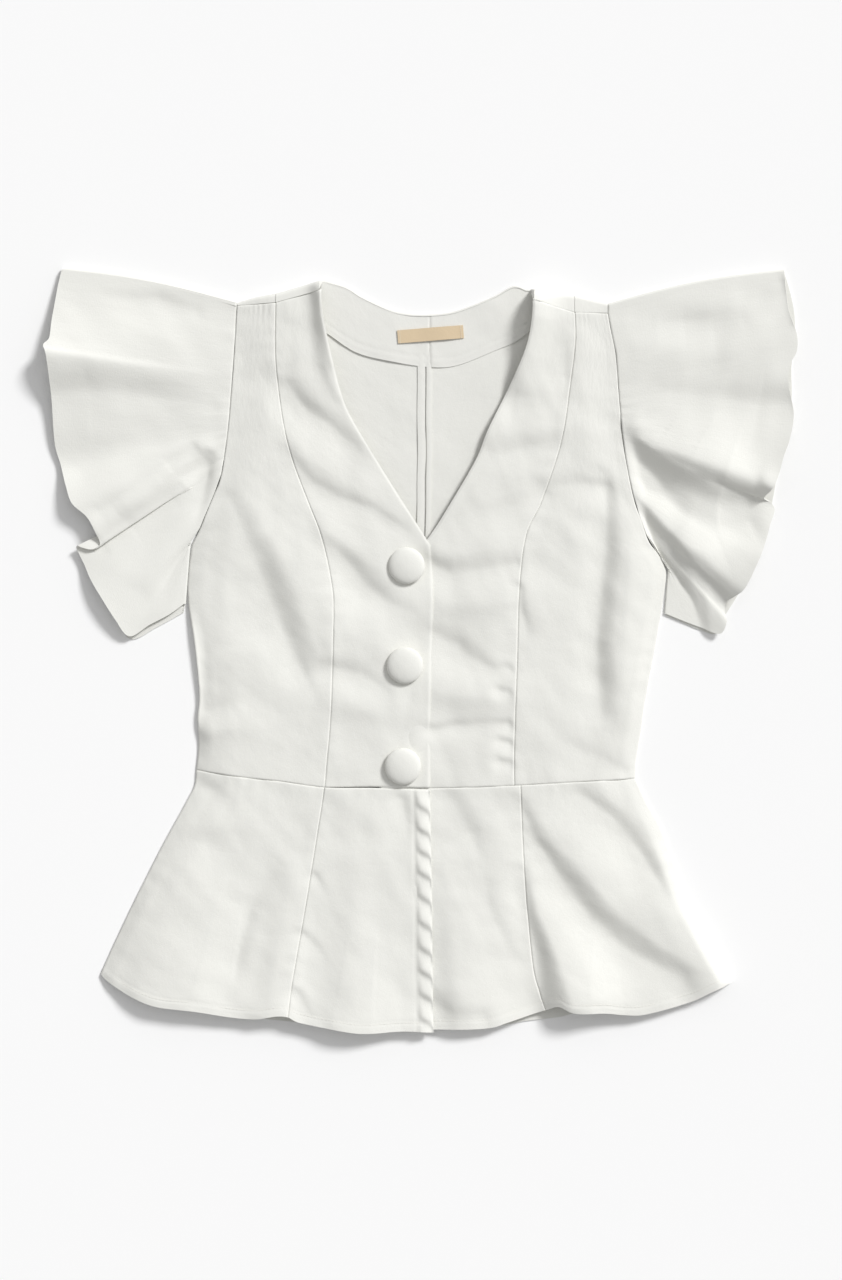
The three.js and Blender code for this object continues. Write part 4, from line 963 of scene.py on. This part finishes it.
def facing_half(name, x0, x1, seed, cloth, seams):
    """One half of the back neck facing, from behind the neck's roll to its own hem."""
    across, down = (shares(length, cloth.spacing) for length in FACING_SIZE)
    x = x0 + (x1 - x0) * across
    top_y = turn_over(smooth_line(BACK_NECK, even(200)), None, x, cloth.fullness)[2] - 0.0002
    for side, outwards in ((RIGHT, -1), (LEFT, 1)):
        corner = side["edge"][0]
        edge = smooth_line(side["shoulder_top"], even(60))
        fold = turn_over(edge, np.full(x.shape, corner[1]), x, cloth.fullness)[0]
        top_y = np.where(outwards * (x - corner[0]) > 0.002, fold - FACING_BACK, top_y)
    top = np.column_stack([x, top_y])
    bottom = np.column_stack([x, height_at(smooth_line(FACING_LOW, even(120)), x)])
    ends = [straight(top[k], bottom[k], down) for k in (0, -1)]
    plan = patch(*ends, top, bottom, down, across)
    relief = edge_relief(plan, ("plain", "plain", "plain", "hem"), seed, seams)
    relief -= NECK_DIP * bell(np.abs(plan[..., 0] - FACING_CENTRE), 0.0011)
    relief -= NECK_DIP * (1 - smooth_step(apart(plan, plan[-1:]) / CALM_EDGE))
    relief += unevenness(plan[..., 0], plan[..., 1], seed, cloth.unevenness * 0.6)
    grid = np.dstack([plan, FACING_TOP + relief])
    piece_from(grid_mesh(name, grid), name, woven_material("facing"), cloth.thickness)


def seam_allowance(name, x0, x1):
    """One turned edge of the pressed-open centre back seam."""
    y = np.linspace(*ALLOWANCE_RUN, 180)[:, None]
    u = np.linspace(0, 1, 5)[None]
    middle = place_at(smooth_line(CENTRE_BACK, even(60)), y) - 0.0032
    wander = 0.0003 * np.sin(y / 0.021) + 0.0002 * np.sin(y / 0.0087)
    x = x0 + (x1 - x0) * u + middle + wander
    z = BACK_TOP + ALLOWANCE_LIFT + 0.0002 * np.sin(math.pi * u) + 0 * x
    grid = np.dstack([x, np.broadcast_to(y, x.shape), z])
    facing = woven_material("facing")
    piece_from(grid_mesh(name, grid), None, facing, ALLOWANCE_THICKNESS, name)


def label_at(gx, gy):
    """Where a place on the label, measured from its middle, lies in plan."""
    tilt = math.radians(LABEL["tilt"])
    return (LABEL["x"] + gx * math.cos(tilt) - gy * math.sin(tilt),
            LABEL["y"] + gx * math.sin(tilt) + gy * math.cos(tilt))


def neck_label():
    """The blank label, bowed a little between its two sewn ends."""
    grid_x, grid_y = np.linspace(-0.5, 0.5, 33), np.linspace(0.5, -0.5, 9)
    x, y = label_at(*np.meshgrid(grid_x * LABEL["width"], grid_y * LABEL["height"]))
    bow = 0.0006 * np.cos(grid_x * math.pi)[None] + 0.0003 * np.sin(grid_x * 9)[None]
    grid = np.dstack([x, y, FACING_TOP + LABEL["lift"] + bow + 0 * x])
    ribbon = woven_material("ribbon")
    piece_from(grid_mesh("label", grid), "label", ribbon, LABEL["thickness"])


# Stitches that follow a line

def stitch_tree():
    """A node group that lays one stitch after another along a line."""
    tree = bpy.data.node_groups.get("Stitches")
    if tree:
        return tree
    tree = bpy.data.node_groups.new("Stitches", "GeometryNodeTree")
    face = tree.interface
    face.new_socket("Geometry", in_out="INPUT", socket_type="NodeSocketGeometry")
    for label, value in (("Spacing", 0.0024), ("Length", 0.0017), ("Thickness", 0.00035)):
        socket = face.new_socket(label, in_out="INPUT", socket_type="NodeSocketFloat")
        socket.default_value = value
        socket.subtype = "DISTANCE"
    face.new_socket("Thread", in_out="INPUT", socket_type="NodeSocketMaterial")
    face.new_socket("Geometry", in_out="OUTPUT", socket_type="NodeSocketGeometry")
    start = add_node(tree, "NodeGroupInput").outputs
    curve = add_node(tree, "GeometryNodeMeshToCurve", fed={"Mesh": start["Geometry"]})
    places = add_node(tree, "GeometryNodeCurveToPoints", None,
                      {"Curve": curve.outputs["Curve"], "Length": start["Spacing"]}, mode="LENGTH").outputs
    radius = add_node(tree, "ShaderNodeMath", {1: 0.5}, {0: start["Thickness"]}, operation="MULTIPLY")
    stitch = add_node(tree, "GeometryNodeMeshCylinder", {"Vertices": 5},
                      {"Radius": radius.outputs[0], "Depth": start["Length"]})
    row = add_node(tree, "GeometryNodeInstanceOnPoints", None, {
        "Points": places["Points"], "Rotation": places["Rotation"], "Instance": stitch.outputs["Mesh"]})
    real = add_node(tree, "GeometryNodeRealizeInstances", fed={"Geometry": row.outputs["Instances"]})
    sewn = add_node(tree, "GeometryNodeSetMaterial",
                    fed={"Geometry": real.outputs["Geometry"], "Material": start["Thread"]})
    add_node(tree, "NodeGroupOutput", fed={"Geometry": sewn.outputs["Geometry"]})
    return tree


def stitches(name, points, spacing, length, thickness, slot):
    """A row of stitches along a line of 3-D points, as one piece."""
    mesh = bpy.data.meshes.new(name + "_line")
    mesh.from_pydata([tuple(p) for p in points], [(i, i + 1) for i in range(len(points) - 1)], [])
    guide = add_object(name + "_line", mesh)
    modifier = guide.modifiers.new("Stitches", "NODES")
    tree = stitch_tree()
    modifier.node_group = tree
    values = {"Spacing": spacing, "Length": length, "Thickness": thickness, "Thread": woven_material("thread")}
    for item in tree.interface.items_tree:
        if item.in_out == "INPUT" and item.name in values:
            modifier[item.identifier] = values[item.name]
    made = evaluated(guide)
    made.name = name
    bpy.data.objects.remove(guide)
    bpy.data.meshes.remove(mesh)
    piece = add_object(name, made)
    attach(piece, "root")


# Measures that can be changed

def measure(name, description, default, low=0.0, **kind):
    """A number that a user can change."""
    return bpy.props.FloatProperty(name=name, description=description, default=default, min=low, **kind)


def colour(name, description, default):
    """A colour that a user can change."""
    return bpy.props.FloatVectorProperty(
        name=name, description=description, default=default, min=0.0, max=1.0, subtype="COLOR")


class BlouseCloth(bpy.types.PropertyGroup):
    thickness: measure("Thickness", "Thickness of the cloth", 0.0009, 0.0003, unit="LENGTH")
    spacing: measure("Cell size", "Distance between grid points on the cloth", 0.002, 0.001, unit="LENGTH")
    fullness: measure(
        "Fullness", "Height of the main folds against the part's own", 1.15, subtype="FACTOR")
    sleeve_fullness: measure(
        "Sleeve fullness", "Height of the sleeve's waves against the part's own", 1.65, subtype="FACTOR")
    fine: measure("Fine folds", "Strength of the small folds", 1.0, subtype="FACTOR")
    unevenness: measure(
        "Unevenness", "Height of the cloth's soft irregular waves", 0.00032, unit="LENGTH")


class BlouseColours(bpy.types.PropertyGroup):
    shell: colour("Cloth", "Colour of the blouse's cloth", (0.805, 0.802, 0.760))
    facing: colour("Facing", "Colour of the back neck facing", (0.81, 0.806, 0.766))
    ribbon: colour("Label", "Colour of the label's ribbon", (0.70, 0.56, 0.38))
    thread: colour("Thread", "Colour of the stitches", (0.80, 0.785, 0.74))
    surface: colour("Surface", "Colour of the surface below", (0.95, 0.95, 0.95))


class BlouseSeams(bpy.types.PropertyGroup):
    groove: measure("Groove", "Depth of the cloth's dip at a seam", 0.0007, unit="LENGTH")
    ridge: measure("Ridge", "Height of the cloth over a seam's turned edges", 0.00006, unit="LENGTH")
    pucker: measure("Pucker", "Height of the small waves along a seam", 0.0003, unit="LENGTH")
    spacing: measure(
        "Pucker spacing", "Distance from one small wave to the next", 0.017, 0.002, unit="LENGTH")


class BlouseStage(bpy.types.PropertyGroup):
    key: measure("Key light", "Strength of the light from the upper right", 2.68)
    softness: measure(
        "Softness", "Width of that light in degrees, for the softness of its shadows", 14.0, max=180.0)
    broad: measure("Broad light", "Strength of the wide light from the upper right", 0.35)
    broad_width: measure("Broad light's width", "Width of the wide light in degrees", 75.0, max=180.0)
    fill: measure("Fill", "Strength of the even light from all round", 0.40, subtype="FACTOR")
    distance: measure("Camera height", "Height of the camera over the surface", 2.66, 0.5, unit="LENGTH")


# Operators

class BLOUSE_OT_backs(bpy.types.Operator):
    """Builds the four back panels and the two halves of the back peplum"""
    bl_idname = "blouse.backs"
    bl_label = "Back panels"

    def execute(self, context):
        cloth = context.scene.blouse_cloth
        rows = even(cells(BODICE_LENGTH, 2 * cloth.spacing))
        neck = smooth_line(BACK_NECK, even(200))
        middle = smooth_line(CENTRE_BACK, rows)
        for side, word, seed in ((RIGHT, "right", 61), (LEFT, "left", 67)):
            shoulder = side["shoulder_top"][0 if side is RIGHT else -1]
            edge = smooth_line(side["shoulder_top"], even(60))
            outside = side_line(side, rows)
            outside[0] = (outside[0][0], shoulder[1])
            princess = smooth_line(side["back_princess"], rows)
            arm, seam, front = side["armhole"][0], side["princess"][0], side["edge"][0]
            order = (outside, princess) if side is RIGHT else (princess, outside)
            x = np.linspace(order[0][0][0], order[1][0][0], cells(0.04, cloth.spacing) + 1)
            seam_y = arm[1] + (seam[1] - arm[1]) * (x - arm[0]) / (seam[0] - arm[0])
            turn = turn_over(edge, seam_y, x, cloth.fullness)
            back_piece(f"back_{word}_side", *order, x, *turn, cloth, seed)
            order = (princess, middle) if side is RIGHT else (middle, princess)
            x = np.linspace(order[0][0][0], order[1][0][0], cells(0.13, cloth.spacing) + 1)
            share = (x - seam[0]) / (front[0] - seam[0])
            over = turn_over(edge, seam[1] + (front[1] - seam[1]) * np.clip(share, 0, 1), x, cloth.fullness)
            open_neck = turn_over(neck, None, x, cloth.fullness)
            turn = [np.where(share > 1, b, a) for a, b in zip(over, open_neck)]
            back_piece(f"back_{word}_center", *order, x, *turn, cloth, seed + 1)
        down = shares(0.21, 2 * cloth.spacing)
        centre = straight(CENTRE_BACK[-1], (CENTRE_BACK[-1][0], BACK_HEM_CENTRE), down)
        peplum_back("peplum_back_right", smooth_line(RIGHT["peplum_side"], down), centre, down, cloth, 71)
        peplum_back("peplum_back_left", centre, smooth_line(LEFT["peplum_side"], down), down, cloth, 73)
        return {"FINISHED"}


class BLOUSE_OT_fronts(bpy.types.Operator):
    """Builds the four panels of the bodice front"""
    bl_idname = "blouse.fronts"
    bl_label = "Bodice fronts"

    def execute(self, context):
        cloth, seams = context.scene.blouse_cloth, context.scene.blouse_seams
        for seed, row in enumerate(BODICE_FRONTS):
            front_piece(row, cloth, seams, 11 * seed + 3, peplum=False)
        return {"FINISHED"}


class BLOUSE_OT_peplum_fronts(bpy.types.Operator):
    """Builds the four panels of the front peplum"""
    bl_idname = "blouse.peplum_fronts"
    bl_label = "Peplum fronts"

    def execute(self, context):
        cloth, seams = context.scene.blouse_cloth, context.scene.blouse_seams
        for seed, row in enumerate(PEPLUM_FRONTS):
            front_piece(row, cloth, seams, 13 * seed + 7, peplum=True)
        return {"FINISHED"}


class BLOUSE_OT_neck(bpy.types.Operator):
    """Builds the back neck facing, the blank label and the pressed-open centre back seam"""
    bl_idname = "blouse.neck"
    bl_label = "Neck facing and label"

    def execute(self, context):
        cloth, seams = context.scene.blouse_cloth, context.scene.blouse_seams
        facing_half("back_facing_right", FACING_LOW[0][0], FACING_CENTRE, 81, cloth, seams)
        facing_half("back_facing_left", FACING_CENTRE, FACING_LOW[-1][0], 83, cloth, seams)
        for word, x0, x1 in ALLOWANCES:
            seam_allowance(f"seam_allowance_{word}", x0, x1)
        neck_label()
        return {"FINISHED"}


class BLOUSE_OT_sleeves(bpy.types.Operator):
    """Builds the two flounce sleeves"""
    bl_idname = "blouse.sleeves"
    bl_label = "Flounce sleeves"

    def execute(self, context):
        cloth, seams = context.scene.blouse_cloth, context.scene.blouse_seams
        for name, side, rows, back_rows, away, seed in (
            ("sleeve_right", RIGHT, SLEEVE_RIGHT, SLEEVE_RIGHT_BACK, -1, 91),
            ("sleeve_left", LEFT, SLEEVE_LEFT, SLEEVE_LEFT_BACK, 1, 97),
        ):
            grid = sleeve_grid(side, rows, back_rows, away, cloth, seams, seed)
            shell_piece(name, grid, cloth, closed=True)
        return {"FINISHED"}


class BLOUSE_OT_buttons(bpy.types.Operator):
    """Builds the three covered buttons"""
    bl_idname = "blouse.buttons"
    bl_label = "Covered buttons"

    def execute(self, context):
        cloth = context.scene.blouse_cloth
        for name, x, y in BUTTONS:
            low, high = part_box(name)
            radius = (high.x - low.x) / 2
            turn = np.linspace(0, 2 * math.pi, 24)
            rim_x, rim_y = x + 0.8 * radius * np.cos(turn), y + 0.8 * radius * np.sin(turn)
            under = front_top(rim_x, rim_y, cloth.fullness, cloth.fine)
            base = max(high.z - BUTTON_HEIGHT, float(under.mean()) + 0.0008)
            profile = [(radius * r, BUTTON_HEIGHT * z) for r, z in BUTTON_DOME]
            mesh = revolved(name, profile, 64)
            mesh.transform(Matrix.Translation(((low.x + high.x) / 2, (low.y + high.y) / 2, base)))
            piece_from(mesh, name, woven_material("shell"))
        return {"FINISHED"}


class BLOUSE_OT_stitches(bpy.types.Operator):
    """Sews the hem of the peplum and the ends of the label"""
    bl_idname = "blouse.stitches"
    bl_label = "Stitches"

    def execute(self, context):
        cloth = context.scene.blouse_cloth
        for side, word in ((RIGHT, "right"), (LEFT, "left")):
            inner = (smooth_line(side["hem"], even(260)) + np.array((0, 0.0076)))[4:-4]
            top = front_top if side is RIGHT else under_top
            z = top(inner[:, 0], inner[:, 1], cloth.fullness, cloth.fine) + 0.0001
            line = np.column_stack([inner, z])
            stitches(f"hem_stitches_{word}", line, *HEM_STITCH, "shell_cloth")
        for sign, word in ((-1, "right"), (1, "left")):
            t = np.linspace(-0.42, 0.42, 8) * LABEL["height"]
            x, y = label_at(sign * (LABEL["width"] / 2 - 0.0022), t)
            points = np.column_stack([x, y, np.full(t.shape, FACING_TOP + 0.00135)])
            stitches(f"label_stitches_{word}", points, *LABEL_STITCH, "label_ribbon")
        return {"FINISHED"}


class BLOUSE_OT_stage(bpy.types.Operator):
    """Sets the white surface, the light from the upper right and the camera straight above"""
    bl_idname = "blouse.stage"
    bl_label = "Surface, light and camera"

    def execute(self, context):
        settings = context.scene.blouse_stage
        mesh = bpy.data.meshes.new("surface")
        reach = SURFACE_REACH
        corners = ((-reach, -reach, 0), (reach, -reach, 0), (reach, reach, 0), (-reach, reach, 0))
        mesh.from_pydata(corners, [], [(0, 1, 2, 3)])
        floor = add_object("surface", mesh)
        matt = {"Base Color": (*context.scene.blouse_colours.surface, 1), "Roughness": 0.9,
                "Specular IOR Level": 0.1}
        mesh.materials.append(material("White surface", lambda tree, surface: set_inputs(surface, matt)))

        world = bpy.data.worlds.new("Even light")
        world.use_nodes = True
        set_inputs(world.node_tree.nodes["Background"], {
            "Color": (1.0, 1.0, 1.0, 1), "Strength": settings.fill})
        context.scene.world = world

        for name, strength, width, place in SUNS:
            light = bpy.data.lights.new(name, "SUN")
            light.angle = math.radians(getattr(settings, width))
            light.energy = getattr(settings, strength)
            lamp = add_object(name, light)
            lamp.location = place
            lamp.rotation_euler = (-lamp.location).to_track_quat("-Z", "Y").to_euler()

        camera = bpy.data.cameras.new("Camera")
        for key, value in CAMERA.items():
            setattr(camera, key, value)
        eye = add_object("Camera", camera)
        eye.location = (*CAMERA_PLACE, settings.distance)
        context.scene.camera = eye
        context.scene.view_settings.view_transform = "Standard"
        context.scene.view_settings.look = "None"
        return {"FINISHED"}


class BLOUSE_PT_panel(bpy.types.Panel):
    """Measures and steps of the blouse"""
    bl_label = "Peplum blouse"
    bl_idname = "BLOUSE_PT_panel"
    bl_space_type = "VIEW_3D"
    bl_region_type = "UI"
    bl_category = "Blouse"

    def draw(self, context):
        scene = context.scene
        for title, settings in (("Cloth", scene.blouse_cloth), ("Colours", scene.blouse_colours),
                                ("Seams", scene.blouse_seams), ("Light and camera", scene.blouse_stage)):
            box = self.layout.box()
            box.label(text=title)
            for key in settings.bl_rna.properties.keys():
                if key not in ("rna_type", "name"):
                    box.prop(settings, key)
        for operator in OPERATORS:
            self.layout.operator(operator.bl_idname)


SETTINGS = (("blouse_cloth", BlouseCloth), ("blouse_colours", BlouseColours),
            ("blouse_seams", BlouseSeams), ("blouse_stage", BlouseStage))
OPERATORS = (BLOUSE_OT_backs, BLOUSE_OT_peplum_fronts, BLOUSE_OT_fronts, BLOUSE_OT_neck, BLOUSE_OT_sleeves,
             BLOUSE_OT_buttons, BLOUSE_OT_stitches, BLOUSE_OT_stage)


def register():
    for name, group in SETTINGS:
        bpy.utils.register_class(group)
        setattr(bpy.types.Scene, name, bpy.props.PointerProperty(type=group))
    for cls in (*OPERATORS, BLOUSE_PT_panel):
        bpy.utils.register_class(cls)


def unregister():
    for cls in (BLOUSE_PT_panel, *reversed(OPERATORS)):
        bpy.utils.unregister_class(cls)
    for name, group in reversed(SETTINGS):
        delattr(bpy.types.Scene, name)
        bpy.utils.unregister_class(group)


def main():
    register()
    bpy.ops.blouse.backs()
    bpy.ops.blouse.peplum_fronts()
    bpy.ops.blouse.fronts()
    bpy.ops.blouse.neck()
    bpy.ops.blouse.sleeves()
    bpy.ops.blouse.buttons()
    bpy.ops.blouse.stitches()
    bpy.ops.blouse.stage()


if __name__ == "__main__":
    main()
